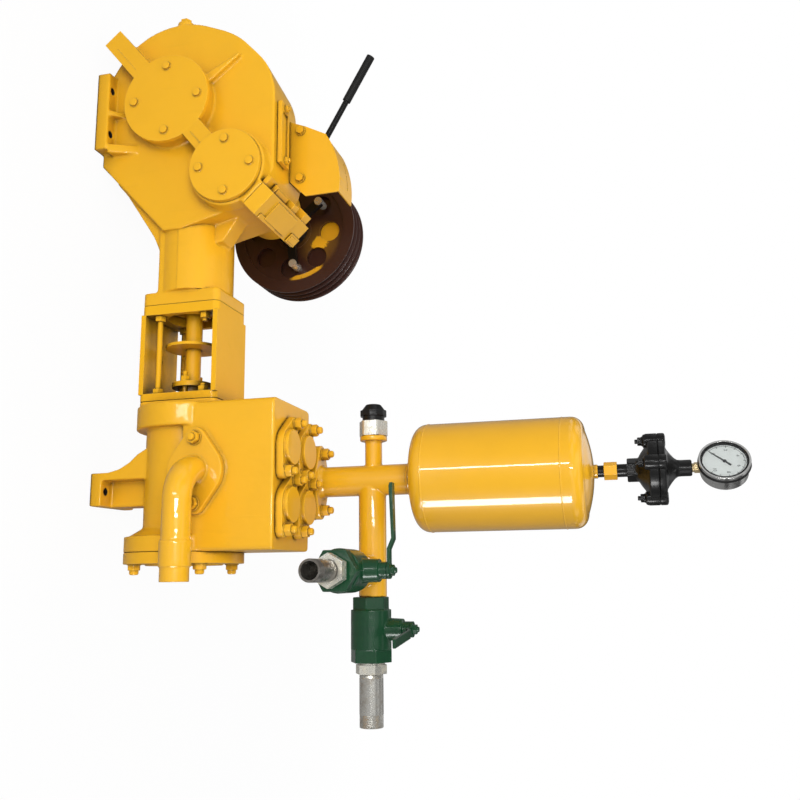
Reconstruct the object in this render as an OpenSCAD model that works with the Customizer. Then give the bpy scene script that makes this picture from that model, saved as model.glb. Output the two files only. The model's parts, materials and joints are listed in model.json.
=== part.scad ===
// Single-cylinder double-acting piston mud pump with a belt drive, an air chamber and two ball valves.
// Millimetres. X runs from the crankcase to the outlet, Y from the side with the suction pipe to the
// side with the belt pulley, and Z up. The origin is on the ground, in the middle of the power foot.

/* [Crankcase] */
// Height of the crank axis
crank_z = 163; // [155:1:175]
// Outer radius of the drum of the crankcase
case_r = 163; // [160:1:166]
// How far the drum's centre lies behind the crank axis
case_back = 21; // [16:1:24]
// Height of the drum's centre
case_z = 166; // [166:1:172]
// Height of the crankcase's flat top
case_top = 380; // [376:1:386]
// Radius of the drum's upper shoulder
shoulder_r = 140; // [130:1:150]
// Distance of the near wall from the centre plane
case_near = 82; // [80:1:86]
// Distance of the far wall from the centre plane
case_far = 62; // [58:1:70]
// Draft of the drum from the near wall to the far wall
case_draft = 10; // [0:1:14]
// Distance of the pinion axis from the crank axis along X
pinion_dx = 163; // [160:1:166]
// Height of the pinion axis above the crank axis
pinion_dz = 134.5; // [130:0.5:136]
// Radius of the pinion boss
pinion_boss_r = 78; // [75:1:80]
// Reach of the pinion boss past the near wall
pinion_proud = 35; // [30:1:38]
// Radius of the crank bearing boss
crank_boss_r = 88; // [80:1:90]
// Reach of the crank bearing boss past the walls
crank_proud = 28; // [22:1:32]
// Width of the beam that ties the bosses together
beam_w = 43; // [36:1:48]
// Thickness of the beam's free end
beam_t = 24; // [18:1:30]
// Reach of the beam's free end from the crank axis
beam_reach = 199; // [190:1:206]
// Thickness of casting ribs
rib_t = 10; // [7:1:14]

/* [Feet] */
// Length of the power foot along X
foot_len = 166; // [150:1:180]
// Thickness of the power foot's flanges
foot_t = 28; // [20:1:32]
// Reach of the power foot from the centre plane
foot_half = 110; // [106:1:120]
// Hole spacing of the power foot along X
foot_pitch_x = 96; // [80:1:110]
// Hole spacing of the power foot along Y
foot_pitch_y = 192; // [188:1:196]
// Diameter of the foundation bolt holes
foot_hole_d = 14; // [10:1:18]
// Length of the fluid foot along X
toe_len = 64; // [56:1:72]
// Half width of the fluid foot
toe_half = 60; // [56:1:66]
// Thickness of the fluid foot's base
toe_t = 24; // [18:1:30]
// Distance of the fluid foot's centre from the valve block's rear
toe_dx = 158; // [142:1:163]
// Hole spacing of the fluid foot along Y
toe_pitch = 84; // [76:1:90]
// Half thickness of the fluid foot's web
toe_web = 23; // [16:1:28]

/* [Neck and distance frame] */
// Height of the rod axis
rod_z = 180; // [176:1:184]
// Outer radius of the neck
neck_r = 74; // [70:1:78]
// Bore radius of the neck, in which the crosshead runs
guide_r = 48; // [44:0.5:50]
// Half width and half height of the square flanges
flange_half = 64; // [62:1:70]
// Height of the frame
frame_h = 164; // [158:1:166]
// Corner radius of the square flanges
flange_corner = 12; // [6:1:20]
// X of the neck flange's inner face
neck_end = 383; // [378:1:388]
// Thickness of the neck flange
neck_flange_t = 27; // [20:1:30]
// Thickness of the frame's first flange
frame_flange_t = 19; // [14:1:22]
// Clear length of the frame's window
window_len = 158; // [150:1:170]
// Thickness of the frame's second flange
frame_end_t = 14; // [10:1:18]
// Thickness of the frame's top and bottom plates
frame_plate_t = 10; // [8:1:12]
// Distance of the frame's studs from the rod axis along Y and Z
stud_off = 48.5; // [48:0.5:50]
// Diameter of the frame's studs
stud_d = 11; // [8:1:12]
// Diameter of the drain hole in the frame's bottom plate
drain_d = 12; // [8:1:16]

/* [Rod] */
// Diameter of the rod extension
ext_d = 33; // [30:1:36]
// Diameter of the piston rod
rod_d = 30; // [25:1:30]
// Radius of the baffle disc
baffle_r = 55; // [45:1:56]
// Thickness of the baffle disc
baffle_t = 6; // [3:1:8]
// Distance of the baffle disc from the frame's first flange
baffle_off = 55; // [50:1:60]
// Length of the crosshead
crosshead_len = 36; // [30:1:40]
// Radial clearance of the crosshead in its bore
crosshead_gap = 0.3; // [0.2:0.05:0.5]
// Radial clearance of the rod in the gland
gland_gap = 0.08; // [0.05:0.01:0.1]
// Stroke on each side of the middle
half_stroke = 35; // [30:1:40]
// Radius of the gland plate
gland_r = 40; // [36:1:42]
// Thickness of the gland plate
gland_t = 10; // [8:1:12]
// Radius of the gland's sleeve
gland_sleeve_r = 26; // [22:1:30]

/* [Fluid end] */
// Length of the valve block
block_len = 277; // [270:1:284]
// Half width of the valve block
block_half = 90; // [88:1:94]
// Height of the valve block's top
block_top = 393; // [388:1:400]
// Radius of the cylinder
cyl_r = 84; // [80:1:86]
// Radius of the flange behind the cylinder
rear_flange_r = 103; // [98:1:106]
// Width of that flange
rear_flange_t = 44; // [30:1:50]
// Radius of the front cover
cover_r = 113; // [110:1:116]
// Thickness of the block's front flange
head_flange_t = 30; // [24:1:36]
// Thickness of the front cover
cover_t = 21; // [16:1:26]
// How far the front cover's centre lies below the rod axis
cover_drop = 5; // [0:1:8]
// Bolt circle radius of the front cover
cover_pcr = 95; // [92:1:98]
// Number of studs on the front cover
cover_studs_n = 4; // [4:1:8]
// Corner radius of the valve block
block_corner = 10; // [4:1:16]

/* [Valve covers] */
// Spacing of the valve covers along X
vc_pitch_x = 106; // [105:1:110]
// Spacing of the valve covers along Y
vc_pitch_y = 84; // [82:1:90]
// Shift of the valve covers from the middle of the block
vc_shift = 3; // [0:1:8]
// Radius of the raised disc
vc_disc_r = 33; // [30:1:34]
// Height of the raised disc above the flange
vc_disc_h = 8; // [5:1:10]
// Radius of the flange's middle
vc_flange_r = 38; // [35:1:40]
// Thickness of the flange
vc_flange_t = 14; // [10:1:16]
// Distance between a cover's two studs
vc_stud_pitch = 104; // [103:1:108]
// Turn of the covers from the X axis
vc_turn = -26; // [-28:1:-24]
// Radius of the flange's ends
vc_end_r = 14; // [12:1:15]
// Diameter of the cover studs
vc_stud_d = 10; // [8:1:12]

/* [Suction] */
// Height of the suction flange and pipe
suction_z = 245; // [240:1:250]
// Distance of the suction flange's centre from the valve block's rear
suction_dx = 132; // [122:1:137]
// Distance between the suction flange's bolts
suction_pitch = 120; // [114:1:124]
// Thickness of the suction flange
suction_flange_t = 15; // [12:1:20]
// Outer diameter of the suction pipe
suction_od = 51; // [48:1:56]
// Bore of the suction pipe
suction_bore = 42; // [38:1:44]
// Bend radius of the elbow
elbow_r = 57; // [52:1:62]
// Distance of the suction pipe's open end from its flange's centre
suction_reach = 199; // [190:1:215]

/* [Discharge] */
// Distance of the riser from the centre plane
riser_y = 126; // [124:1:130]
// Distance of the riser from the valve block's rear
riser_dx = 138; // [133:1:143]
// Outer diameter of the riser
riser_od = 60.3; // [56:0.1:64]
// Distance between the riser flange's studs
riser_pitch = 113; // [108:1:118]
// Thickness of the riser flange
riser_flange_t = 14; // [10:1:18]
// Height of the branch pipes above the valve block
branch_dz = 121; // [115:1:127]
// Outer diameter of the outlet branch
branch_od = 54; // [48:1:56]
// Length of the outlet branch from the riser's axis
branch_len = 226; // [219:1:234]
// Outer diameter of the relief branch
relief_od = 33.7; // [30:0.1:36]
// Length of the relief branch from the riser's axis
relief_len = 88; // [81:1:96]
// Length of the relief branch's hexagon nut
relief_nut_len = 30; // [24:1:36]
// Size across the corners of the relief nut
relief_nut_d = 60; // [54:1:62]
// Length of the relief cap
relief_cap_len = 34; // [28:1:40]

/* [Air chamber] */
// Outer diameter of the air chamber
tank_od = 210; // [200:1:220]
// Height of the bottom of the air chamber above the valve block
tank_dz = 201; // [195:1:205]
// Height of its bottom end
tank_bottom_h = 41; // [38:1:50]
// Length of its straight shell
tank_shell_h = 257; // [220:1:280]
// Height of its top end
tank_top_h = 54; // [45:1:60]
// Wall thickness of the air chamber
tank_wall = 6; // [4:0.5:8]
// Height of the crown of the air chamber's ends
tank_crown = 14; // [10:1:20]
// Knuckle radius of the ends
tank_knuckle = 24; // [18:1:34]

/* [Gauge] */
// Height of the nipple between the air chamber and its nut
nipple_h = 18; // [14:1:24]
// Height of the yellow nut
gauge_nut_h = 24; // [18:1:28]
// Radius of the diaphragm seal
seal_r = 54; // [48:1:58]
// Height of the diaphragm seal's lower half
seal_low_h = 74; // [70:1:80]
// Height of the diaphragm seal's upper half
seal_up_h = 58; // [54:1:62]
// Radius of the gauge's bezel
gauge_r = 45; // [40:1:50]
// Depth of the gauge's case
gauge_depth = 36; // [30:1:42]
// Turn of the dial away from the near side
gauge_turn = 33; // [28:1:45]
// Height of the gauge's brass stem
gauge_stem_h = 13; // [11:1:20]

/* [Ball valves] */
// Length of a ball valve
valve_len = 122; // [116:1:126]
// Length of each hexagon end
valve_hex_len = 25; // [20:1:28]
// Corner radius of the inner hexagon end
valve_end_r = 36; // [34:0.5:38]
// Corner radius of the screwed cap's hexagon
valve_cap_r = 41; // [38:0.5:43]
// Radius of the valve's round body
valve_body_r = 39; // [36:0.5:40]
// Height of the stem's top above the valve's axis
stem_h = 79; // [74:1:82]
// Length of the lever
lever_len = 154; // [140:1:165]
// Width of the lever
lever_w = 20; // [16:1:22]
// Distance of the near valve from the riser's axis along X
valve1_dx = 177; // [173:1:181]
// Y of the near valve's rear end
valve1_y = 23; // [20:1:30]
// Turn of the far valve's lever from the near side
lever2_turn = 6; // [0:1:15]
// Length of the zinc hexagon bushings
bushing_len = 24; // [20:1:28]
// Outer diameter of the near outlet nipple
nipple1_od = 38.5; // [36:0.5:42]
// Outer diameter of the far outlet nipple
nipple2_od = 46; // [42:0.5:48]
// Wall thickness of the outlet nipples
nipple_wall = 4; // [3:0.5:5]
// Length of the near nipple
nipple1_len = 85; // [70:1:100]
// Length of the far nipple
nipple2_len = 98; // [80:1:120]

/* [Belt drive] */
// Outer radius of the belt pulley
pulley_r = 145; // [135:1:150]
// Width of the belt pulley
pulley_w = 72; // [68:1:80]
// Y of the pulley's near rim
pulley_y = 230; // [225:1:240]
// Depth of the belt grooves
groove_depth = 14; // [10:1:16]
// Number of belt grooves
grooves = 3; // [2:1:4]
// Radial thickness of the rim under the grooves
rim_t = 11; // [8:1:14]
// Thickness of the web
web_t = 9; // [7:1:12]
// Distance of the web from the near rim
web_off = 4; // [3:1:8]
// Diameter of the holes in the web
web_hole_d = 47; // [40:1:50]
// Distance of those holes from the axis
web_hole_pcr = 86; // [82:1:88]
// Number of holes in the web
web_holes = 8; // [6:1:8]
// Diameter of the pinion shaft
shaft_d = 44; // [36:1:48]
// Radius of the bearing housing behind the case
housing_r = 60; // [56:1:64]
// Y of the bearing housing's end
housing_end = 125; // [115:1:135]
// Radial clearance of the pinion shaft in its housing
shaft_gap = 0.1; // [0.05:0.01:0.15]
// Distance of the clutch bracket's outer face from the pinion axis
bracket_reach = 117; // [112:1:122]
// Width of the clutch bracket
bracket_w = 54; // [48:1:60]
// Radius of the guard's curved top about the pinion axis
guard_r = 190; // [184:1:196]
// Depth of the guard
guard_depth = 78; // [70:1:80]
// Thickness of the guard's sheet
guard_t = 3; // [2:0.5:4]
// Length of the clutch lever from its pivot
clutch_len = 285; // [270:1:300]
// Distance of the clutch lever from the centre plane
clutch_y = 31.5; // [28:0.5:36]
// Length of the sleeve on the clutch lever
grip_len = 106; // [90:1:120]
// Diameter of the clutch lever
clutch_d = 12; // [10:1:14]

/* [Hidden] */
$fn = 64;

yellow = "#f5b335";
dark_green = "#1e4d36";
steel = "#b9b6ae";
pale_zinc = "#d8d4c6";
black = "#202020";

cut = 1;
fit = 0.3;
ledge_z = rod_z - neck_r + 24;
ledge_h = 38;
frame_x0 = neck_end + neck_flange_t;
window_x0 = frame_x0 + frame_flange_t;
window_x1 = window_x0 + window_len;
block_x0 = window_x1 + frame_end_t;
rear_x0 = block_x0;
body_x0 = rear_x0 + 12;
head_x0 = body_x0 + block_len - head_flange_t;
cover_z = rod_z - cover_drop;
body_x1 = body_x0 + block_len;
toe_x = body_x0 + toe_dx;
suction_x = body_x0 + suction_dx;
suction_end = suction_x + suction_reach;
riser_x = body_x0 + riser_dx;
branch_z = block_top + branch_dz;
branch_end = riser_x + branch_len;
relief_end = riser_x - relief_len;
valve1_x = riser_x + valve1_dx;
tank_z = block_top + tank_dz;
web_x = neck_end - 81;
frame_z0 = rod_z - frame_h / 2;
pinion_x = pinion_dx;
pinion_z = crank_z + pinion_dz;
beam_angle = atan2(pinion_dz, pinion_dx);
cap_t = 10;
plug_x = case_back + case_r + 11;
plug_y = -64;
plug_z = 172;
cover_x0 = body_x1;
vc_x0 = (body_x0 + body_x1) / 2 + vc_shift;
baffle_x = window_x0 + baffle_off;
crosshead_x = neck_end - 68;
guide_depth = neck_end + neck_flange_t - (crosshead_x - crosshead_len / 2 - half_stroke - 12);
gland_x = window_x1 - 28;
pulley_mid = pulley_y + pulley_w / 2;
tank_shell_z = tank_z + tank_bottom_h;
tank_top_z = tank_shell_z + tank_shell_h;
nipple_z = tank_top_z + tank_top_h;
gauge_nut_z = nipple_z + nipple_h;
seal_z = gauge_nut_z + gauge_nut_h;
seal_up_z = seal_z + seal_low_h;
seal_lug_r = 11;
stem_z = seal_up_z + seal_up_h;
gauge_z = stem_z + gauge_stem_h + gauge_r - 2;
valve1_mid = valve1_y - valve_len / 2;
valve2_mid = branch_end + valve_len / 2;
riser_flange_z = block_top + 2;
guard_y = 0;
clutch_pivot = [pinion_x - 30, pinion_z + 104];
clutch_angle = 150;
bracket_angle = 43;
bracket_seat = 84;
clutch_hub_h = 16;
clutch_pin_r = 5;
collar_off = 30;
thread_h = 1;

// Cylinder along X from x0 to x1, about the height z
module bar_x(x0, x1, r, y = 0, z = 0) {
    translate([x0, y, z]) rotate([0, 90, 0]) cylinder(h = x1 - x0, r = r);
}

// Cylinder along Y from y0 to y1
module bar_y(y0, y1, r, x = 0, z = 0) {
    translate([x, y0, z]) rotate([-90, 0, 0]) cylinder(h = y1 - y0, r = r);
}

// Plate with rounded corners in the YZ plane, from x0 along X
module plate_x(x0, t, half_w, z0, h, corner) {
    translate([x0, 0, z0 + h / 2]) rotate([90, 0, 90]) linear_extrude(t)
        rounded_rect(2 * half_w, h, corner);
}

module rounded_rect(w, h, r) {
    union() {
        square([w - 2 * r, h], center = true);
        square([w, h - 2 * r], center = true);
        for (sx = [-1, 1], sy = [-1, 1])
            translate([sx * (w / 2 - r), sy * (h / 2 - r)]) circle(r, $fn = 32);
    }
}

// Hexagon nut with a domed stud end, standing along +Z on z = 0
module nut(d, h, tip) {
    cylinder(h = h, r = d, $fn = 6);
    translate([0, 0, h]) cylinder(h = tip, r = d * 0.5, $fn = 24);
}

// Outline in XZ with two stud ends and a round middle, for oval flanges
module oval(pitch, end_r, mid_r) {
    d = pitch / 2;
    a = acos((mid_r - end_r) / d);
    m = mid_r - 0.02;
    e = end_r - 0.02;
    union() {
        circle(mid_r);
        for (s = [-1, 1]) translate([s * d, 0]) circle(end_r, $fn = 32);
        polygon([
            [m * cos(a), m * sin(a)], [d + e * cos(a), e * sin(a)],
            [d + e * cos(a), -e * sin(a)], [m * cos(a), -m * sin(a)],
            [-m * cos(a), -m * sin(a)], [-d - e * cos(a), -e * sin(a)],
            [-d - e * cos(a), e * sin(a)], [-m * cos(a), m * sin(a)]]);
    }
}

// Side profile of the crankcase between its two walls
module case_slice(y, t, r, x, z) {
    translate([x, y, z]) rotate([-90, 0, 0]) cylinder(h = t, r = r, $fn = 56);
}

module case_body() {
    shoulder_z = case_top - shoulder_r;
    wide = case_near + case_far;
    hull() {
        for (far = [0, 1]) {
            y = far == 1 ? case_far - 2 : -case_near;
            draft = far * case_draft;
            case_slice(y, 2, case_r - draft, -case_back, case_z);
            case_slice(y, 2, case_r - 2 - draft, -8, case_z + 34);
            case_slice(y, 2, shoulder_r - draft, 5, shoulder_z);
        }
        case_slice(-case_near, wide, 70, pinion_x, pinion_z);
        case_slice(-case_near, wide, 60, pinion_x - 13, case_top - 60);
        translate([234, -case_near, 146]) cube([28, wide, 36]);
        translate([-foot_len / 2 + 14, -case_near, 3]) cube([foot_len + 12, wide, 6]);
    }
}

module power_foot() {
    difference() {
        for (s = [-1, 1]) {
            inner = s < 0 ? case_near : case_far;
            translate([-foot_len / 2, s < 0 ? -foot_half : inner - cut, 0])
                cube([foot_len, foot_half - inner + cut, foot_t]);
        }
        for (x = [-1, 1], y = [-1, 1])
            translate([x * foot_pitch_x / 2, y * foot_pitch_y / 2, -cut])
                cylinder(h = foot_t + 2 * cut, d = foot_hole_d);
    }
    // Ribs between the flanges and the walls
    for (s = [-1, 1], end = [0, 1]) {
        inner = s < 0 ? case_near : case_far;
        rise = end == 0 ? 30 : 62;
        translate([end * (foot_len / 2 - rib_t), 0, foot_t - cut]) rotate([90, 0, 90])
            linear_extrude(rib_t * (1 + 0.8 * end))
            polygon([[s * (inner - cut), 0], [s * (foot_half - 4), 0], [s * (foot_half - 4), 6],
                [s * (inner - cut), rise]]);
    }
    translate([-foot_len / 2, -case_near, 0]) cube([foot_len, case_near + case_far, foot_t]);
}

module bosses() {
    bar_y(-case_near - crank_proud, -case_near + cut, crank_boss_r, 0, crank_z);
    bar_y(case_far - cut, case_far + crank_proud, crank_boss_r, 0, crank_z);
    bar_y(-case_near - pinion_proud, -case_near + cut, pinion_boss_r, pinion_x, pinion_z);
    bar_y(case_far - cut, housing_end, housing_r, pinion_x, pinion_z);
    // Beam through both bosses, with its free end past the drum
    translate([0, -case_near - crank_proud, crank_z]) rotate([0, -beam_angle, 0]) {
        translate([0, 0, -beam_w / 2]) cube([200, crank_proud + cut, beam_w]);
        translate([-beam_reach, 0, -beam_w / 2]) cube([beam_reach, beam_t, beam_w]);
    }
    // Seat of the clutch guard
    translate([20, guard_y - 8, case_top - 14]) cube([138, case_far - guard_y + 6, 14]);
    // Pad under the clutch bracket
    at_bracket() translate([30, 0, -bracket_w / 2])
        cube([bracket_seat - 30, case_near + pinion_proud + case_far, bracket_w]);
    // Rib from the crank boss towards the top of the drum
    translate([0, -case_near + cut, crank_z]) rotate([0, -122, 0]) rotate([90, 0, 0])
        linear_extrude(12)
            polygon([[crank_boss_r - 6, -11], [crank_boss_r + 82, -2.5], [crank_boss_r + 82, 2.5],
                [crank_boss_r - 6, 11]]);
}

module neck() {
    bar_x(180, neck_end + cut, neck_r, 0, rod_z);
    translate([neck_end - 163, -neck_r + 10, ledge_z]) cube([163, 2 * neck_r - 20, ledge_h]);
    plate_x(neck_end, neck_flange_t, flange_half, frame_z0, frame_h, flange_corner);
    // Shoulder from the pinion housing down to the neck, and the sloping web under the neck
    rotate([90, 0, 0]) linear_extrude(44)
        polygon([[pinion_x + 37, pinion_z - 2], [pinion_x + 69, pinion_z - 2],
            [neck_end - 99, rod_z + neck_r + 5], [neck_end - 93, rod_z], [pinion_x + 37, rod_z]]);
    translate([0, 60, 0]) rotate([90, 0, 0]) linear_extrude(120)
        polygon([[web_x - 162, 26], [web_x - 132, 52], [web_x - 75, 90], [web_x - 37, 115],
            [web_x, ledge_z + 2], [web_x, rod_z], [web_x - 162, rod_z]]);
}

module crankcase() {
    color(yellow) difference() {
        union() {
            case_body();
            power_foot();
            bosses();
            neck();
            // Seat of the inspection cover
            translate([16, -68, case_top - cut]) cube([126, 34, cut + 3]);
            bar_x(-plug_x, -plug_x + 34, 17, plug_y, plug_z);
        }
        bar_x(crosshead_x - crosshead_len / 2 - half_stroke - 12, frame_x0 + cut, guide_r, 0, rod_z);
        bar_y(housing_end - 60, housing_end + cut, shaft_d / 2 + shaft_gap, pinion_x, pinion_z);
        bar_x(-plug_x - cut, -plug_x + 4, 9, plug_y, plug_z);
        // Parting groove along the beam
        translate([0, -case_near - crank_proud, crank_z]) rotate([0, -beam_angle, 0])
            translate([-beam_reach + 40, -cut, -beam_w / 6]) cube([beam_reach + 150, cut + 1.5, 1.6]);
    }
}

// Round bearing cover with four hexagon bolts; the outer face looks along -Y
module bearing_cover(r, bolt_r) {
    rotate([90, 0, 0]) {
        cylinder(h = cap_t, r = r);
        for (a = [0:90:270]) rotate(a) translate([bolt_r, 0, cap_t]) {
            cylinder(h = 2, r = 10, $fn = 24);
            translate([0, 0, 2]) cylinder(h = 6, r = 9, $fn = 6);
        }
    }
}

module crank_cover_near() {
    color(yellow) translate([0, -case_near - crank_proud, crank_z])
        bearing_cover(crank_boss_r + 4, crank_boss_r - 19);
}

module crank_cover_far() {
    color(yellow) translate([0, case_far + crank_proud, crank_z]) rotate([0, 0, 180])
        bearing_cover(crank_boss_r + 4, crank_boss_r - 19);
}

module pinion_cover() {
    color(yellow) translate([pinion_x, -case_near - pinion_proud, pinion_z])
        bearing_cover(pinion_boss_r - 5, pinion_boss_r - 25);
}

// Frame of the clutch bracket: X away from the pinion axis, Y along it from the boss's face
module at_bracket() {
    translate([pinion_x, -case_near - pinion_proud, pinion_z]) rotate([0, -bracket_angle, 0]) children();
}

// Slide block of the clutch, bolted on its pad beside the pinion boss
module clutch_bracket() {
    len = case_near + pinion_proud + case_far + 6;
    color(yellow) at_bracket() {
        translate([bracket_seat, 0, -bracket_w / 2]) cube([bracket_reach - bracket_seat, len, bracket_w]);
        translate([bracket_reach, 34, -bracket_w / 2 + 6]) cube([4, 96, bracket_w - 12]);
        translate([bracket_seat + 4, 96, bracket_w / 2]) cube([22, 22, 14]);
        translate([bracket_seat + 2, 146, bracket_w / 2]) cube([26, 28, 18]);
    }
}

module inspection_cover() {
    z0 = case_top + 3;
    color(yellow) {
        difference() {
            translate([14, -70, z0]) cube([130, 38, 9]);
            translate([34, -63, z0 + 5]) cube([92, 24, 5]);
        }
        for (x = [24, 134]) translate([x, -51, z0 + 9]) nut(8, 7, 3);
    }
}

module filler_plug() {
    color(yellow) translate([-plug_x + 4, plug_y, plug_z]) rotate([0, -90, 0]) {
        cylinder(h = 6, r = 9 - fit);
        translate([0, 0, 4.3]) cylinder(h = 7, r = 12, $fn = 6);
    }
}

// Points on a circle about the pinion axis, from angle a0 to a1
function pinion_arc(r, a0, a1, n) = [for (i = [0:n]) let (a = a0 + (a1 - a0) * i / n)
    [pinion_x + r * cos(a), pinion_z + r * sin(a)]];

// Bent sheet guard over the clutch linkage, bolted on the crankcase, with the post of the lever's pivot
module clutch_guard() {
    base_z = case_top;
    a0 = 82.5;
    plate_a1 = 122.5;
    band_a1 = 116;
    plate = pinion_arc(guard_r, a0, plate_a1, 20);
    color(yellow) {
        translate([0, guard_y + guard_t, 0]) rotate([90, 0, 0]) linear_extrude(guard_t)
            polygon(concat(plate, [[plate[20][0] - 23, base_z + 34], [24, base_z], [154, base_z],
                [plate[0][0] + 1, base_z + 35]]));
        difference() {
            translate([0, guard_y + guard_depth, 0]) rotate([90, 0, 0]) linear_extrude(guard_depth)
                polygon(concat(pinion_arc(guard_r, a0, band_a1, 20),
                    pinion_arc(guard_r - guard_t, band_a1, a0, 20)));
            // Two slots in a row for the screws that adjust the guard
            for (slot = [[107, 22], [134, 32]])
                translate([slot[0], guard_y + 47, pinion_z + guard_r - 24]) cube([slot[1], 4, 30]);
        }
        translate([24, guard_y, base_z]) cube([130, case_far - guard_y - 4, guard_t]);
        for (x = [47, 150]) translate([x, guard_y, base_z + 24]) rotate([90, 0, 0]) {
            cylinder(h = 2, r = 10, $fn = 24);
            translate([0, 0, 2]) cylinder(h = 6, r = 8, $fn = 6);
        }
        at_clutch_pivot() {
            translate([0, 0, -20]) cylinder(h = 20 - clutch_hub_h / 2 - fit, r = 9);
            translate([0, 0, -10]) cylinder(h = 10 + clutch_hub_h / 2 + 3, r = clutch_pin_r);
        }
    }
}

// Frame of the clutch lever's pivot: Z along the pin, X along the lever
module at_clutch_pivot() {
    translate([clutch_pivot[0], clutch_y, clutch_pivot[1]])
        rotate([0, -clutch_angle, 0]) mirror([0, 0, 1]) children();
}

module distance_frame() {
    color(yellow) difference() {
        union() {
            plate_x(frame_x0, frame_flange_t, flange_half, frame_z0, frame_h, flange_corner);
            plate_x(window_x1, frame_end_t, flange_half, frame_z0, frame_h, flange_corner);
            for (z = [frame_z0, frame_z0 + frame_h - frame_plate_t])
                translate([window_x0 - cut, -flange_half, z])
                    cube([window_len + 2 * cut, 2 * flange_half, frame_plate_t]);
        }
        bar_x(frame_x0 - cut, window_x0 + cut, guide_r + 4, 0, rod_z);
        bar_x(window_x1 - cut, block_x0 + cut, gland_sleeve_r + 8, 0, rod_z);
        for (y = [-1, 1], z = [-1, 1])
            bar_x(frame_x0 - cut, block_x0 + cut, stud_d / 2 + fit, y * stud_off, rod_z + z * stud_off);
        translate([window_x0 + window_len / 2, 0, frame_z0 - cut])
            cylinder(h = frame_plate_t + 2 * cut, d = drain_d);
    }
}

// Studs of the frame: two long ties below, and short studs above
module frame_studs() {
    color(yellow) for (y = [-1, 1]) {
        translate([0, y * stud_off, rod_z - stud_off]) {
            bar_x(frame_x0 + fit, block_x0 - fit, stud_d / 2);
            for (x = [window_x0, window_x1 - 11])
                translate([x, 0, 0]) rotate([0, 90, 0]) cylinder(h = 11, r = 11, $fn = 6);
        }
        translate([0, y * stud_off, rod_z + stud_off]) {
            bar_x(frame_x0 + fit, window_x0 + 17, stud_d / 2);
            bar_x(window_x1 - 17, block_x0 - fit, stud_d / 2);
            for (x = [window_x0, window_x1 - 11])
                translate([x, 0, 0]) rotate([0, 90, 0]) cylinder(h = 11, r = 11, $fn = 6);
        }
    }
}

// Gland plate with its sleeve, pulled towards the stuffing box by two studs
module packing_gland() {
    color(yellow) difference() {
        union() {
            bar_x(gland_x, gland_x + gland_t, gland_r, 0, rod_z);
            bar_x(gland_x, block_x0 - fit, gland_sleeve_r, 0, rod_z);
            for (y = [-1, 1]) {
                bar_x(gland_x - 20, window_x1, 4.5, y * (gland_r - 9), rod_z);
                translate([gland_x - 10, y * (gland_r - 9), rod_z]) rotate([0, 90, 0])
                    cylinder(h = 10 + cut, r = 9, $fn = 6);
            }
        }
        bar_x(gland_x - cut, block_x0, rod_d / 2 + gland_gap, 0, rod_z);
    }
}

module fluid_foot() {
    x0 = toe_x - toe_len / 2 - 3;
    low = rod_z - cyl_r;
    difference() {
        translate([x0, -toe_half, 0]) cube([toe_len, 2 * toe_half, toe_t]);
        for (s = [-1, 1]) translate([toe_x, s * toe_pitch / 2, -cut])
            cylinder(h = toe_t + 2 * cut, d = foot_hole_d);
    }
    translate([x0, -toe_web, toe_t - cut]) cube([toe_len, 2 * toe_web, low - toe_t + 8]);
    // Cross rib, sloping out towards the crankcase at its top
    translate([0, toe_half, 0]) rotate([90, 0, 0]) linear_extrude(2 * toe_half)
        polygon([[x0, toe_t - cut], [x0 + 14, toe_t - cut], [x0 + 14, low + 30], [x0 - 48, low + 30],
            [x0 - 34, low + 4], [x0 - 18, low - 14], [x0 - 6, low - 36], [x0, low - 60]]);
}

module fluid_end() {
    color(yellow) difference() {
        union() {
            plate_x(block_x0, 12, flange_half, frame_z0, frame_h, flange_corner);
            bar_x(body_x0, body_x1, cyl_r, 0, rod_z);
            bar_x(body_x0, body_x0 + rear_flange_t, rear_flange_r, 0, rod_z);
            translate([(body_x0 + body_x1) / 2, 0, rod_z + 30])
                linear_extrude(block_top - rod_z - 30)
                    rounded_rect(block_len, 2 * block_half, block_corner);
            bar_x(head_x0, body_x1, cover_r, 0, cover_z);
            translate([head_x0 - 16, 0, cover_z]) rotate([0, 90, 0])
                cylinder(h = 16 + cut, r1 = cyl_r - 4, r2 = cover_r - 6);
            // Discharge boss on the far side
            translate([riser_x, 0, block_top - 74]) {
                translate([-52, block_half - 12, 0]) cube([104, riser_y - block_half + 12, 74]);
                translate([0, riser_y, 0]) linear_extrude(74 + 2) oval(riser_pitch, 19, 44);
            }
            // Suction boss on the near side
            translate([suction_x, -block_half + cut, suction_z]) rotate([90, 0, 0])
                linear_extrude(cut + 3) oval(suction_pitch, 20, 54);
            fluid_foot();
        }
        bar_x(block_x0 - cut, block_x0 + 60, rod_d / 2 + 1.5, 0, rod_z);
    }
}

module cylinder_cover() {
    color(yellow) difference() {
        union() {
            bar_x(cover_x0, cover_x0 + cover_t, cover_r, 0, cover_z);
            bar_x(cover_x0 + cover_t - cut, cover_x0 + cover_t + 3, cover_pcr - 22, 0, cover_z);
        }
        bar_x(cover_x0 + cover_t - 2, cover_x0 + cover_t + 4, cover_pcr - 36, 0, cover_z);
    }
}

module cover_studs() {
    color(yellow) for (i = [0:cover_studs_n - 1])
        translate([cover_x0 + cover_t, 0, cover_z])
            rotate([360 / cover_studs_n * (i + 0.5), 0, 0]) translate([0, cover_pcr, 0])
                rotate([0, 90, 0]) nut(11, 11, 10);
}

// The covers sit in two rows of two
module each_cover() {
    for (x = [-1, 1], y = [-1, 1])
        translate([vc_x0 + x * vc_pitch_x / 2, y * vc_pitch_y / 2, block_top]) rotate(vc_turn) children();
}

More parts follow.
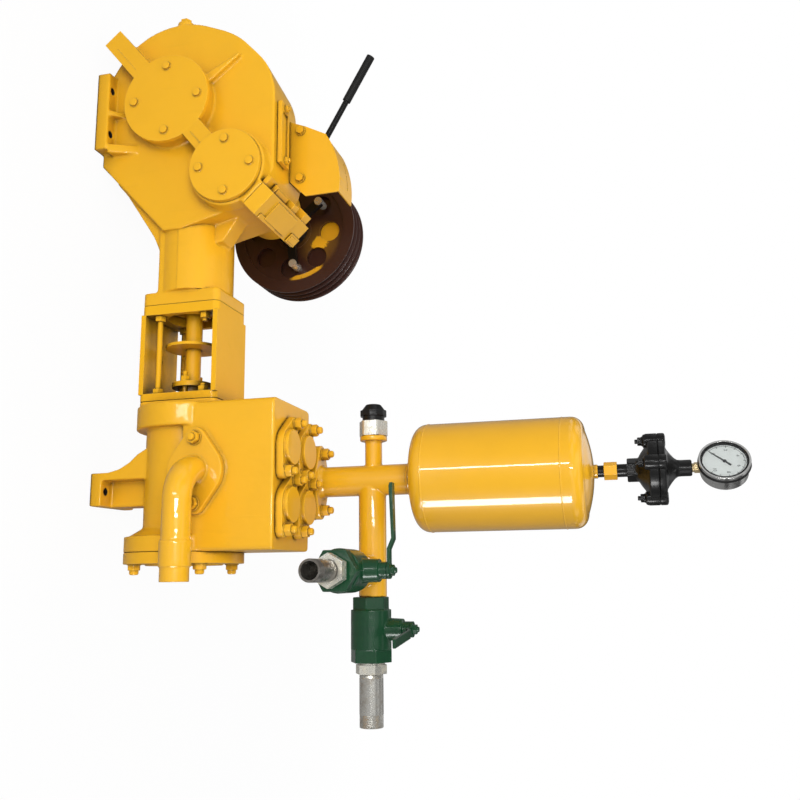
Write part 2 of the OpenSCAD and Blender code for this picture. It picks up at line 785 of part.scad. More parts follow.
module valve_covers() {
    color(yellow) each_cover() {
        linear_extrude(vc_flange_t) oval(vc_stud_pitch, vc_end_r, vc_flange_r);
        translate([0, 0, vc_flange_t - cut]) cylinder(h = vc_disc_h + cut, r = vc_disc_r);
    }
}

module valve_cover_studs() {
    color(yellow) each_cover() for (s = [-1, 1])
        translate([s * vc_stud_pitch / 2, 0, vc_flange_t]) nut(10, 13, 12);
}

module suction_elbow() {
    face = block_half + 3;
    y_pipe = face + suction_flange_t + elbow_r;
    color(yellow) difference() {
        union() {
            translate([suction_x, -face, suction_z]) rotate([90, 0, 0])
                linear_extrude(suction_flange_t) oval(suction_pitch, 20, 55);
            translate([suction_x, -y_pipe + elbow_r, suction_z]) elbow_solid(suction_od / 2);
            bar_x(suction_x + elbow_r, suction_end, suction_od / 2, -y_pipe, suction_z);
            bar_x(suction_end - 70, suction_end - 26, suction_od / 2 + 2.5, -y_pipe, suction_z);
        }
        bar_x(suction_x + elbow_r, suction_end + cut, suction_bore / 2, -y_pipe, suction_z);
        translate([suction_x, -y_pipe + elbow_r, suction_z]) elbow_solid(suction_bore / 2);
        bar_y(-face - suction_flange_t, -face - suction_flange_t + 10, suction_bore / 2,
            suction_x, suction_z);
        for (s = [-1, 1]) bar_y(-face - suction_flange_t - cut, -face + cut, 6,
            suction_x + s * suction_pitch / 2, suction_z);
    }
}

// Quarter bend from the flange's face, first along -Y and then along +X
module elbow_solid(r) {
    translate([elbow_r, 0, 0]) rotate(180) rotate_extrude(angle = 90) translate([elbow_r, 0]) circle(r);
}

// Studs and nuts of the suction flange and the riser flange
module flange_bolts() {
    face = block_half + 3 + suction_flange_t;
    color(yellow) {
        for (s = [-1, 1]) {
            translate([suction_x + s * suction_pitch / 2, -face, suction_z]) rotate([90, 0, 0]) {
                cylinder(h = 2, r = 14, $fn = 32);
                translate([0, 0, 2]) nut(12, 10, 8);
            }
            translate([riser_x + s * riser_pitch / 2, riser_y, riser_flange_z + riser_flange_t])
                nut(10, 13, 9);
        }
    }
}

module discharge_manifold() {
    color(yellow) difference() {
        union() {
            translate([riser_x, riser_y, riser_flange_z]) linear_extrude(riser_flange_t)
                oval(riser_pitch, 18, 42);
            translate([riser_x, riser_y, riser_flange_z]) cylinder(h = 24, r1 = 40, r2 = riser_od / 2);
            translate([riser_x, riser_y, riser_flange_z])
                cylinder(h = tank_z - riser_flange_z, d = riser_od);
            bar_x(riser_x, branch_end, branch_od / 2, riser_y, branch_z);
            bar_x(relief_end, riser_x, relief_od / 2, riser_y, branch_z + 3);
            bar_x(relief_end, relief_end + 10, 27, riser_y, branch_z + 3);
            bar_y(valve1_y, riser_y, branch_od / 2, valve1_x, branch_z - 2);
        }
        translate([riser_x, riser_y, riser_flange_z - cut]) cylinder(h = 80, d = riser_od - 10);
    }
}

module relief_nut() {
    color(pale_zinc) translate([relief_end - relief_nut_len, riser_y, branch_z + 3]) rotate([0, 90, 0])
        intersection() {
            cylinder(h = relief_nut_len, d = relief_nut_d, $fn = 6);
            cylinder(h = relief_nut_len, d = relief_nut_d - 3);
        }
}

module relief_cap() {
    x1 = relief_end - relief_nut_len;
    color(black) translate([x1 - relief_cap_len, riser_y, branch_z + 3]) rotate([0, 90, 0]) {
        cylinder(h = 12, r1 = 15, r2 = 24, $fn = 24);
        translate([0, 0, 12]) cylinder(h = 12, r = 27, $fn = 12);
        translate([0, 0, 24]) cylinder(h = relief_cap_len - 24, r = 22, $fn = 24);
    }
}

// Profile of a dished end: a shallow crown on a knuckle, r across and h high
function end_profile(r, h, k) = concat(
    [for (i = [0:8]) let (a = 90 * i / 8) [r - k + k * cos(a), h - k - tank_crown + k * sin(a)]],
    [for (i = [1:8]) let (t = i / 8) [(r - k) * (1 - t), h - tank_crown * pow(1 - t, 2)]]);

module dished_end(h) {
    r = tank_od / 2;
    w = tank_wall;
    difference() {
        rotate_extrude() polygon(concat([[0, 0], [r, 0]], end_profile(r, h, tank_knuckle)));
        translate([0, 0, -cut]) rotate_extrude()
            polygon(concat([[0, 0], [r - w, 0]], end_profile(r - w, h - w + cut, tank_knuckle)));
    }
}

module tank_shell() {
    color(yellow) translate([riser_x, riser_y, tank_shell_z]) difference() {
        cylinder(h = tank_shell_h, d = tank_od);
        translate([0, 0, -cut]) cylinder(h = tank_shell_h + 2 * cut, d = tank_od - 2 * tank_wall);
    }
}

module tank_bottom_end() {
    color(yellow) translate([riser_x, riser_y, tank_shell_z]) mirror([0, 0, 1]) dished_end(tank_bottom_h);
}

module tank_top_end() {
    color(yellow) translate([riser_x, riser_y, tank_top_z]) {
        dished_end(tank_top_h);
        translate([0, 0, tank_top_h - 4]) cylinder(h = 11, r = 13);
    }
}

// Parts above the air chamber stand on one axis
module on_tank(z) {
    translate([riser_x, riser_y, z]) children();
}

module gauge_nipple() {
    color(black) on_tank(nipple_z + 7) cylinder(h = nipple_h - 7, r = 11);
}

module gauge_nut() {
    color(yellow) on_tank(gauge_nut_z) cylinder(h = gauge_nut_h, r = 17, $fn = 6);
}

// Lower half of the diaphragm seal: stub, hexagon, cone and flange, with the bolts' nuts below
module seal_body() {
    color(black) on_tank(seal_z) {
        cylinder(h = 20, r = 12);
        translate([0, 0, 18]) cylinder(h = 20, r = 22, $fn = 6);
        translate([0, 0, 36]) cylinder(h = 18, r1 = 23, r2 = 44, $fn = 48);
        translate([0, 0, 52]) cylinder(h = seal_low_h - 52, r = seal_r);
        each_seal_bolt() {
            translate([0, 0, 54]) cylinder(h = seal_low_h - 55, r = seal_lug_r);
            translate([0, 0, 38]) cylinder(h = 18, r = 4, $fn = 16);
            translate([0, 0, 44]) cylinder(h = 11, r = 8, $fn = 6);
        }
    }
}

module each_seal_bolt() {
    for (a = [0:60:300]) rotate(a + 12) translate([seal_r - 3, 0, 0]) children();
}

// Upper half of the diaphragm seal: flange, cone and the socket of the gauge's stem
module seal_cap() {
    color(black) on_tank(seal_up_z) {
        each_seal_bolt() translate([0, 0, 1]) cylinder(h = 10, r = seal_lug_r);
        rotate_extrude() polygon([[0, 0], [seal_r, 0], [seal_r, 8], [seal_r - 3, 12], [seal_r - 10, 14],
            [36, 16], [30, 20], [22, 26], [15, 32], [15, seal_up_h - 2], [13, seal_up_h], [0, seal_up_h]]);
    }
}

module gauge_stem() {
    color("#b08d4c") on_tank(stem_z) {
        cylinder(h = 5, r = 8);
        translate([0, 0, 4]) cylinder(h = gauge_stem_h - 3 - fit, r = 10, $fn = 6);
    }
}

// Gauge axis points out of the dial, turned from the near side
module gauge_axis() {
    translate([riser_x, riser_y, gauge_z]) rotate([0, 0, -gauge_turn]) rotate([90, 0, 0])
        translate([0, 0, 3]) children();
}

module gauge_case() {
    color(steel) gauge_axis() difference() {
        translate([0, 0, -gauge_depth / 2]) {
            cylinder(h = gauge_depth - 6, r = gauge_r - 3);
            translate([0, 0, gauge_depth - 8]) cylinder(h = 8, r = gauge_r);
        }
        translate([0, 0, gauge_depth / 2 - 7]) cylinder(h = 8, r = gauge_r - 4);
    }
}

module gauge_dial() {
    color("white") gauge_axis() translate([0, 0, gauge_depth / 2 - 7]) cylinder(h = 1, r = gauge_r - 4 - fit);
}

module gauge_needle() {
    color(black) gauge_axis() translate([0, 0, gauge_depth / 2 - 6]) {
        cylinder(h = 2, r = 4, $fn = 24);
        rotate(52) translate([-32, -0.8, 0.3]) cube([44, 1.6, 1]);
    }
}

module gauge_glass() {
    color("#dfeef0") gauge_axis() translate([0, 0, gauge_depth / 2 - 3])
        cylinder(h = 2, r = gauge_r - 4 - fit);
}

// Ball valve about its own middle: flow along X, its screwed cap at +X, and the stem up
module ball_valve() {
    h = valve_len / 2;
    translate([-h, 0, 0]) rotate([0, 90, 0]) rotate(30)
        cylinder(h = valve_hex_len, r = valve_end_r, $fn = 6);
    translate([h - valve_hex_len, 0, 0]) rotate([0, 90, 0])
        cylinder(h = valve_hex_len, r = valve_cap_r, $fn = 6);
    bar_x(-h + valve_hex_len - cut, h - valve_hex_len + cut, valve_body_r);
    cylinder(h = stem_h - 14, r1 = 23, r2 = 20);
    cylinder(h = stem_h, r = 15);
}

// Lever about the stem's top, pointing along +X, with its stem nut
module ball_lever() {
    cylinder(h = 5, r = 15);
    translate([0, 0, 5]) nut(10, 7, 4);
    translate([0, 8, 0]) rotate([90, 0, 0]) linear_extrude(16)
        polygon([[0, 0], [38, 0], [56, 8], [lever_len - 6, 4], [lever_len, 6], [lever_len, 11],
            [54, 13], [36, 5], [0, 5]]);
}

module valve_1_body() {
    color(dark_green) translate([valve1_x, valve1_mid, branch_z - 2]) rotate(-90) ball_valve();
}

module valve_2_body() {
    color(dark_green) translate([valve2_mid, riser_y, branch_z - 4]) ball_valve();
}

module valve_1_lever() {
    color(dark_green) translate([valve1_x, valve1_mid, branch_z - 2 + stem_h + fit]) rotate(180) ball_lever();
}

module valve_2_lever() {
    color(dark_green) translate([valve2_mid, riser_y, branch_z - 4 + stem_h + fit])
        rotate(-90 + lever2_turn) ball_lever();
}

// Threaded stub and hexagon of each outlet
module outlet_bushings() {
    color(pale_zinc) {
        translate([valve2_mid + valve_len / 2, riser_y, branch_z - 4]) rotate([0, 90, 0])
            bushing(4, 17, 31, nipple2_od);
        translate([valve1_x, valve1_mid - valve_len / 2, branch_z - 2]) rotate([90, 0, 0])
            bushing(10, bushing_len, 30, nipple1_od);
    }
}

module bushing(neck_len, len, r, od) {
    difference() {
        union() {
            cylinder(h = neck_len + cut, r = od / 2 + 3);
            translate([0, 0, neck_len]) cylinder(h = len, r = r, $fn = 6);
        }
        translate([0, 0, neck_len + 4]) cylinder(h = len, r = od / 2 - thread_h + fit);
    }
}

module outlet_nipples() {
    color(steel) {
        translate([valve2_mid + valve_len / 2 + 8, riser_y, branch_z - 4]) rotate([0, 90, 0])
            nipple(nipple2_len, 13, nipple2_od);
        translate([valve1_x, valve1_mid - valve_len / 2 - 14, branch_z - 2]) rotate([90, 0, 0])
            nipple(nipple1_len, bushing_len - 4, nipple1_od);
    }
}

// Pipe of length len past its bushing, with its thread held in the bushing over root_len
module nipple(len, root_len, od) {
    difference() {
        union() {
            cylinder(h = root_len + cut, r = od / 2 - thread_h);
            translate([0, 0, root_len]) cylinder(h = len, d = od);
        }
        translate([0, 0, -cut]) cylinder(h = len + root_len + 2 * cut, d = od - 2 * nipple_wall);
    }
}

// Rod of the clutch lever on its pivot pin, with a sleeve for the hand
module clutch_lever() {
    color(black) at_clutch_pivot() difference() {
        union() {
            translate([0, 0, -clutch_hub_h / 2]) cylinder(h = clutch_hub_h, r = 13);
            rotate([0, 90, 0]) cylinder(h = clutch_len - 4, d = clutch_d);
            translate([clutch_len - grip_len, 0, 0]) rotate([0, 90, 0])
                cylinder(h = grip_len, d = clutch_d + 5);
        }
        translate([0, 0, -20]) cylinder(h = 40, r = clutch_pin_r + 0.08);
    }
}

// Rim section: a groove per belt
function rim_outline() = let (
        pitch = (pulley_w - 6) / grooves, top = 4.5, floor_w = pitch - 2 * top - 3)
    concat([[pulley_r - groove_depth - rim_t, 0], [pulley_r, 0]],
        [for (i = [0:grooves - 1], j = [0:3]) let (y = 3 + pitch * i)
            j == 0 ? [pulley_r, y + 1] : j == 1 ? [pulley_r - groove_depth, y + top]
            : j == 2 ? [pulley_r - groove_depth, y + pitch - top] : [pulley_r, y + pitch - 1]],
        [[pulley_r, pulley_w], [pulley_r - groove_depth - rim_t, pulley_w]]);

module belt_pulley() {
    inner = pulley_r - groove_depth - rim_t;
    color("#4a2a24") translate([pinion_x, pulley_y, pinion_z]) rotate([-90, 0, 0]) difference() {
        union() {
            rotate_extrude() polygon(rim_outline());
            translate([0, 0, web_off]) cylinder(h = web_t, r = inner + cut);
            translate([0, 0, web_off - 2]) cylinder(h = pulley_w - web_off, r = 42);
            translate([0, 0, pulley_w - 6]) cylinder(h = 5, r = inner + cut);
        }
        for (i = [0:web_holes - 1])
            rotate(360 / web_holes * i + 5) translate([web_hole_pcr, 0, web_off - cut])
                cylinder(h = web_t + 2 * cut, d = web_hole_d);
        translate([0, 0, -cut]) cylinder(h = pulley_w + 2 * cut, r = shaft_d / 2);
    }
}

module pulley_shaft() {
    color(steel) {
        bar_y(housing_end - 58, pulley_y + pulley_w + 8, shaft_d / 2, pinion_x, pinion_z);
    }
}

// Three clutch fingers on their collar, each with a bright adjusting pin
module clutch_fingers() {
    y0 = pulley_y - collar_off;
    color(black) translate([pinion_x, y0, pinion_z]) rotate([-90, 0, 0]) difference() {
        union() {
            cylinder(h = 26, r = 36);
            for (i = [0:2]) rotate(120 * i - 7) {
                translate([28, -9, 4]) cube([web_hole_pcr - 24, 18, 12]);
                translate([web_hole_pcr + 2, 0, 0]) cylinder(h = collar_off + web_off - fit, r = 9);
            }
        }
        translate([0, 0, -cut]) cylinder(h = 40, r = shaft_d / 2);
    }
}

module piston_rod() {
    color(steel) {
        bar_x(crosshead_x - crosshead_len / 2, crosshead_x + crosshead_len / 2,
            guide_r - crosshead_gap, 0, rod_z);
        bar_x(crosshead_x, baffle_x - fit, ext_d / 2, 0, rod_z);
        bar_x(baffle_x - cut, block_x0 + 20, rod_d / 2, 0, rod_z);
    }
}

module baffle_disc() {
    color(yellow) difference() {
        bar_x(baffle_x, baffle_x + baffle_t, baffle_r, 0, rod_z);
        bar_x(baffle_x - cut, baffle_x + baffle_t + cut, rod_d / 2, 0, rod_z);
    }
}

crankcase();
crank_cover_near();
crank_cover_far();
pinion_cover();
clutch_bracket();
inspection_cover();
filler_plug();
clutch_guard();
distance_frame();
frame_studs();
packing_gland();
fluid_end();
cylinder_cover();
cover_studs();
valve_covers();
valve_cover_studs();
suction_elbow();
flange_bolts();
discharge_manifold();
relief_nut();
relief_cap();
tank_shell();
tank_bottom_end();
tank_top_end();
gauge_nipple();
gauge_nut();
seal_body();
seal_cap();
gauge_stem();
gauge_case();
gauge_dial();
gauge_needle();
gauge_glass();
valve_1_body();
valve_2_body();
outlet_bushings();
outlet_nipples();
valve_1_lever();
valve_2_lever();
clutch_lever();
belt_pulley();
pulley_shaft();
clutch_fingers();
piston_rod();
baffle_disc();
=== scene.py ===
import json
import math

import bmesh
import bpy
import numpy
from mathutils import Matrix, Vector, noise


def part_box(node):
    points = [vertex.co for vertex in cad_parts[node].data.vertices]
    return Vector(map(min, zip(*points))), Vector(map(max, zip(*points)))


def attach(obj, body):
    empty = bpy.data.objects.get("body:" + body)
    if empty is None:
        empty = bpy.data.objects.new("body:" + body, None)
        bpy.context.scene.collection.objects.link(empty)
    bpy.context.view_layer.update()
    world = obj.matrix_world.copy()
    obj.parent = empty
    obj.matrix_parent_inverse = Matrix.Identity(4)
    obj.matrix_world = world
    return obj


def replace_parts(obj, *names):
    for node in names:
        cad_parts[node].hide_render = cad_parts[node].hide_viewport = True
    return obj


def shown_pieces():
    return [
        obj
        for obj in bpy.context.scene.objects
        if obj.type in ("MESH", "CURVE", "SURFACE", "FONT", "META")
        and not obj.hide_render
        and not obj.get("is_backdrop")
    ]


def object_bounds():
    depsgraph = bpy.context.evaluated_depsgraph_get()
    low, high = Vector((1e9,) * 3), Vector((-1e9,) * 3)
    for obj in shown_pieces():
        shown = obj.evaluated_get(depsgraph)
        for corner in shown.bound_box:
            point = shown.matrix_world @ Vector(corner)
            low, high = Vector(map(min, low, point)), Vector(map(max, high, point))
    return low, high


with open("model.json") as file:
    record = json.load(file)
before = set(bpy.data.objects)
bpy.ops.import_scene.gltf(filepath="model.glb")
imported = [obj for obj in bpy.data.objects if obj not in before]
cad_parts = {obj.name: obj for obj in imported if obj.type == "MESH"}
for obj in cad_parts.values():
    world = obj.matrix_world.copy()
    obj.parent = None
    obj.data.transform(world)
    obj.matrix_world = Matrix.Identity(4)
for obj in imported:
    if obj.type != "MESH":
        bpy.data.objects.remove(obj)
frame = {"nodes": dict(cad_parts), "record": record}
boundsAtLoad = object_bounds()
scene = bpy.context.scene
record = frame["record"]
slotOf = {part["node"]: part["material_slot"] for part in record["subparts"]}
bodyOf = {node: body for body, nodes in record["behaviour"]["bodies"].items() for node in nodes}
mm = 0.001
pulleyAxis = (0.163, 0.0, 0.2975)
riserAt = (0.751, 0.126)


def say(text):
    print("scene:", text, flush=True)


# Shader building


class Signal:
    # an output socket that can be used in plain arithmetic
    def __init__(self, tree, socket):
        self.tree = tree
        self.socket = socket

    def maths(self, operation, *terms, clamp=False):
        node = self.tree.nodes.new("ShaderNodeMath")
        node.operation = operation
        node.use_clamp = clamp
        for entry, term in zip(node.inputs, terms):
            if isinstance(term, Signal):
                self.tree.links.new(entry, term.socket)
            else:
                entry.default_value = term
        return Signal(self.tree, node.outputs[0])

    def __add__(self, other):
        return self.maths("ADD", self, other)

    def __radd__(self, other):
        return self.maths("ADD", other, self)

    def __sub__(self, other):
        return self.maths("SUBTRACT", self, other)

    def __rsub__(self, other):
        return self.maths("SUBTRACT", other, self)

    def __mul__(self, other):
        return self.maths("MULTIPLY", self, other)

    def __rmul__(self, other):
        return self.maths("MULTIPLY", other, self)

    def clamped(self):
        return self.maths("ADD", self, 0.0, clamp=True)

    # 0 below low, 1 above high, and a smooth step between them
    def step(self, low, high):
        node = self.tree.nodes.new("ShaderNodeMapRange")
        node.interpolation_type = "SMOOTHSTEP"
        self.tree.links.new(node.inputs[0], self.socket)
        node.inputs[1].default_value = low
        node.inputs[2].default_value = high
        return Signal(self.tree, node.outputs[0])


class Shader:
    # the nodes of a material or of the world
    def __init__(self, owner):
        self.owner = owner
        owner.use_nodes = True
        self.tree = owner.node_tree
        self.tree.nodes.clear()

    def make(self, kind, settings=None, values=None, output=0):
        node = self.tree.nodes.new("ShaderNode" + kind)
        for key, value in (settings or {}).items():
            setattr(node, key, value)
        for key, value in (values or {}).items():
            if isinstance(value, Signal):
                self.tree.links.new(node.inputs[key], value.socket)
            else:
                node.inputs[key].default_value = value
        return Signal(self.tree, node.outputs[output])

    def place(self):
        return self.make("TexCoord", output="Object")

    def stretched(self, place, scale):
        return self.make("VectorMath", {"operation": "MULTIPLY"}, {0: place, 1: scale})

    def noise(self, place, scale, detail=2.0, rough=0.5):
        return self.make("TexNoise", {}, {"Vector": place, "Scale": scale, "Detail": detail, "Roughness": rough})

    def blend(self, factor, first, second):
        return self.make("Mix", {"data_type": "RGBA"}, {0: factor, 6: first, 7: second}, 2)

    # 0 on open surfaces and up to 1 in corners and under nuts
    def crevice(self, reach):
        return 1.0 - self.make("AmbientOcclusion", {"samples": 5}, {"Distance": reach}, "AO")

    # 0 on flats and up to 1 on convex edges
    def edge(self, width):
        soft = self.make("Bevel", {"samples": 4}, {"Radius": width})
        true = self.make("NewGeometry", output="Normal")
        return ((1.0 - self.make("VectorMath", {"operation": "DOT_PRODUCT"}, {0: soft, 1: true}, "Value"))
                * 8.0).clamped()

    def bump(self, height, distance):
        return self.make("Bump", {}, {"Strength": 1.0, "Distance": distance, "Height": height})

    def surface(self, shader, output="OutputMaterial"):
        out = self.tree.nodes.new("ShaderNode" + output)
        self.tree.links.new(out.inputs["Surface"], shader.socket)
        return self.owner


def newShader(name):
    return Shader(bpy.data.materials.new(name))


def colour(red, green, blue):
    return (red, green, blue, 1.0)


def axisDistance(s, place, centre):
    # distance from a line through centre along Y
    offset = s.make("VectorMath", {"operation": "SUBTRACT"}, {0: place, 1: centre})
    return s.make("VectorMath", {"operation": "LENGTH"}, {0: s.stretched(offset, (1.0, 0.0, 1.0))}, "Value")


# Materials

yellowValues = {
    "paint": (0.900, 0.468, 0.014), "thick": (0.700, 0.360, 0.010), "dirtAndShade": (0.060, 0.030, 0.005),
    "wearAndEdgeHighlight": (0.950, 0.640, 0.150), "roughness": 0.34, "coat": 0.35, "coatRoughness": 0.08,
    "shine": 0.25, "lump": 1.0, "peel": 1.0, "runs": 1.0, "dirtAndShadeReach": 9 * mm,
    "oilFilmAndShade": (0.120, 0.070, 0.010), "oilAndShadeReach": 50 * mm, "oilAndShadeAmount": 0.50, "oilAndShadeRange": (0.24, 0.70),
    "lumpScale": 70.0, "peelScale": 420.0, "blotchScale": 14.0, "grimeScale": 110.0, "runScale": (60.0, 60.0, 5.0),
}


def yellowPaint(name, values):
    s = newShader(name)
    place = s.place()
    lumps = s.noise(place, values["lumpScale"])
    peel = s.noise(place, values["peelScale"])
    blotch = s.noise(place, values["blotchScale"], 4.0, 0.6)
    grime = s.noise(place, values["grimeScale"], 5.0, 0.7)
    runs = s.noise(s.stretched(place, values["runScale"]), 1.0).step(0.60, 0.74) * values["runs"]
    crevice = s.crevice(values["dirtAndShadeReach"])
    wide = s.crevice(values["dirtAndShadeReach"] * 4.0)
    edge = s.edge(1.2 * mm)
    # painted shade: darker yellow in corners and closed-in places from occlusion, with some pooling along runs and
    # blotches
    pooledAndShaded = (crevice.step(0.15, 0.5) * 0.7 + wide.step(0.25, 0.7) * 0.45 + runs * 0.10
              + blotch.step(0.35, 0.75) * 0.14).clamped()
    # dirt and a painted contact shadow: near-black lines where parts meet and under nuts
    dirtAndShade = (crevice.step(0.26, 0.46) * (0.60 + 0.40 * grime.step(0.30, 0.60))).clamped()
    paint = s.blend(pooledAndShaded, colour(*values["paint"]), colour(*values["thick"]))
    # paler yellow on convex edges: a painted edge highlight, with a little wear
    paint = s.blend(edge * grime.step(0.30, 0.65) * 0.6, paint, colour(*values["wearAndEdgeHighlight"]))
    # painted shade, with a film of oil and dust, where a wide space around is closed in
    oilFilmAndShade = s.crevice(values["oilAndShadeReach"]).step(*values["oilAndShadeRange"]) * values["oilAndShadeAmount"]
    paint = s.blend(oilFilmAndShade, paint, colour(*values["oilFilmAndShade"]))
    paint = s.blend(dirtAndShade, paint, colour(*values["dirtAndShade"]))
    roughness = values["roughness"] + blotch * 0.10 + dirtAndShade * 0.3
    height = lumps * (0.50 * values["lump"]) + peel * (0.10 * values["peel"]) + runs * 0.25
    normal = s.bump(height, 0.50 * mm)
    return s.surface(s.make("BsdfPrincipled", {}, {
        "Base Color": paint, "Roughness": roughness, "Normal": normal, "Coat Weight": values["coat"],
        "Coat Roughness": values["coatRoughness"], "Specular IOR Level": values["shine"]}))


redBrownValues = {
    "paint": (0.042, 0.013, 0.008), "deep": (0.035, 0.010, 0.008), "wearAndEdgeHighlight": (0.160, 0.075, 0.045),
    "dust": (0.110, 0.065, 0.025), "spray": (0.860, 0.420, 0.012),
    "webRadius": (0.108, 0.122), "webFace": (0.2375, 0.2405),
    "patchAt": (0.196, 0.233, 0.361), "patchEdge": (0.040, 0.046), "mistEdge": (0.02, 0.075),
    "crescentInner": (0.104, 0.107), "crescentOuter": (0.1135, 0.117), "crescentSide": (0.02, 0.05),
    "crescentLow": (-0.012, 0.002), "crescentHigh": (0.060, 0.074), "crescentBack": (0.270, 0.280),
    "discAt": (0.1705, 0.246, 0.3832), "discEdge": (0.026, 0.028),
    "discFront": (0.2435, 0.245), "discBack": (0.252, 0.256),
}


def redBrownPaint(name, values):
    s = newShader(name)
    place = s.place()
    peel = s.noise(place, 380.0)
    blotch = s.noise(place, 26.0, 5.0, 0.65)
    fine = s.noise(place, 160.0, 5.0, 0.7)
    x, y, z = [s.make("SeparateXYZ", {}, {0: place}, letter) for letter in "XYZ"]
    radius = axisDistance(s, place, pulleyAxis)
    edge = s.edge(1.0 * mm)
    crevice = s.crevice(12 * mm)
    # yellow paint that strayed on the near face: a patch beside a hole and a crescent inside the rim
    across = x - pulleyAxis[0]
    rise = z - pulleyAxis[2]
    web = (1.0 - radius.step(*values["webRadius"])) * (1.0 - y.step(*values["webFace"]))
    patch = axisDistance(s, place, values["patchAt"])
    blob = 1.0 - (patch + blotch * 0.050).step(*values["patchEdge"])
    lip = (radius.step(*values["crescentInner"]) * (1.0 - radius.step(*values["crescentOuter"]))
           * (1.0 - y.step(*values["crescentBack"])))
    crescent = (lip * across.step(*values["crescentSide"]) * rise.step(*values["crescentLow"])
                * (1.0 - rise.step(*values["crescentHigh"])))
    mist = web * (1.0 - (patch + fine * 0.02).step(*values["mistEdge"])) * 0.16
    # and a round patch on the plate behind the upper hole
    disc = axisDistance(s, place, values["discAt"])
    behind = ((1.0 - disc.step(*values["discEdge"])) * y.step(*values["discFront"])
              * (1.0 - y.step(*values["discBack"])))
    spray = (mist + web * blob * 0.95 + crescent * 0.85 * fine.step(0.22, 0.42) + behind).clamped()
    paint = s.blend(blotch.step(0.35, 0.8) * 0.5, colour(*values["paint"]), colour(*values["deep"]))
    # lighter colour on convex edges: wear and a painted edge highlight
    paint = s.blend(edge * fine.step(0.3, 0.6) * 0.7, paint, colour(*values["wearAndEdgeHighlight"]))
    paint = s.blend(crevice.step(0.3, 0.9) * fine.step(0.4, 0.6) * 0.35, paint, colour(*values["dust"]))
    paint = s.blend(spray, paint, colour(*values["spray"]))
    normal = s.bump(peel * 0.25 + blotch * 0.4, 0.5 * mm)
    return s.surface(s.make("BsdfPrincipled", {}, {
        "Base Color": paint, "Roughness": 0.34 + blotch * 0.16, "Normal": normal,
        "Coat Weight": 0.3, "Coat Roughness": 0.14, "Specular IOR Level": 0.35}))


greenValues = {
    "paint": (0.006, 0.060, 0.021), "deep": (0.004, 0.030, 0.016), "wearAndEdgeHighlight": (0.050, 0.130, 0.085),
    "dirtAndShade": (0.006, 0.014, 0.009), "roughness": 0.26,
}


def greenPaint(name, values):
    s = newShader(name)
    place = s.place()
    grain = s.noise(place, 300.0, 4.0, 0.6)
    lumps = s.noise(place, 70.0)
    blotch = s.noise(place, 34.0, 4.0, 0.6)
    edge = s.edge(1.0 * mm)
    crevice = s.crevice(9 * mm)
    paint = s.blend(blotch.step(0.3, 0.8) * 0.5, colour(*values["paint"]), colour(*values["deep"]))
    # lighter colour on convex edges: wear and a painted edge highlight
    paint = s.blend(edge * grain.step(0.3, 0.6) * 0.55, paint, colour(*values["wearAndEdgeHighlight"]))
    # dirt and painted shade in crevices
    paint = s.blend(crevice.step(0.3, 0.9) * 0.7, paint, colour(*values["dirtAndShade"]))
    normal = s.bump(grain * 0.30 + lumps * 0.7, 0.5 * mm)
    return s.surface(s.make("BsdfPrincipled", {}, {
        "Base Color": paint, "Roughness": values["roughness"] + grain * 0.14, "Normal": normal,
        "Coat Weight": 0.35, "Coat Roughness": 0.08, "Specular IOR Level": 0.3}))


blackGlossValues = {
    "paint": (0.007, 0.007, 0.007), "wearAndEdgeHighlight": (0.045, 0.045, 0.046), "roughness": 0.24, "coat": 0.15, "shine": 0.25,
}
blackMattValues = {
    "paint": (0.009, 0.009, 0.009), "wearAndEdgeHighlight": (0.040, 0.040, 0.040), "roughness": 0.48, "coat": 0.0, "shine": 0.3,
}


def blackPaint(name, values):
    s = newShader(name)
    place = s.place()
    grain = s.noise(place, 350.0, 4.0, 0.6)
    blotch = s.noise(place, 40.0, 3.0, 0.6)
    edge = s.edge(0.8 * mm)
    # lighter colour on convex edges: wear and a painted edge highlight
    paint = s.blend(edge * grain.step(0.35, 0.65) * 0.6, colour(*values["paint"]), colour(*values["wearAndEdgeHighlight"]))
    normal = s.bump(grain * 0.3 + blotch * 0.6, 0.4 * mm)
    return s.surface(s.make("BsdfPrincipled", {}, {
        "Base Color": paint, "Roughness": values["roughness"] + blotch * 0.14, "Normal": normal,
        "Coat Weight": values["coat"], "Coat Roughness": 0.10, "Specular IOR Level": values["shine"]}))


bareSteelValues = {
    "metal": (0.600, 0.590, 0.550), "stain": (0.220, 0.180, 0.130), "dark": (0.040, 0.034, 0.028),
    "roughness": 0.22, "stainAmount": 0.7, "metallic": 0.82,
    "oiled": (0.075, 0.062, 0.050), "oiledAmount": 0.72, "oiledAt": (0.928, 0.0, 0.512),
    "oiledEdge": (21 * mm, 22.05 * mm), "boreReach": 26 * mm,
}
zincValues = {
    "metal": (0.840, 0.820, 0.740), "stain": (0.640, 0.560, 0.380), "dark": (0.080, 0.070, 0.050),
    "roughness": 0.20, "stainAmount": 0.6, "metallic": 0.78,
}
stainlessValues = {
    "metal": (0.580, 0.580, 0.570), "stain": (0.440, 0.440, 0.430), "dark": (0.040, 0.040, 0.040),
    "roughness": 0.14, "stainAmount": 0.4, "metallic": 0.95,
}
brassValues = {
    "metal": (0.700, 0.560, 0.320), "stain": (0.440, 0.320, 0.160), "dark": (0.080, 0.055, 0.030),
    "roughness": 0.26, "stainAmount": 0.6, "metallic": 0.8,
}


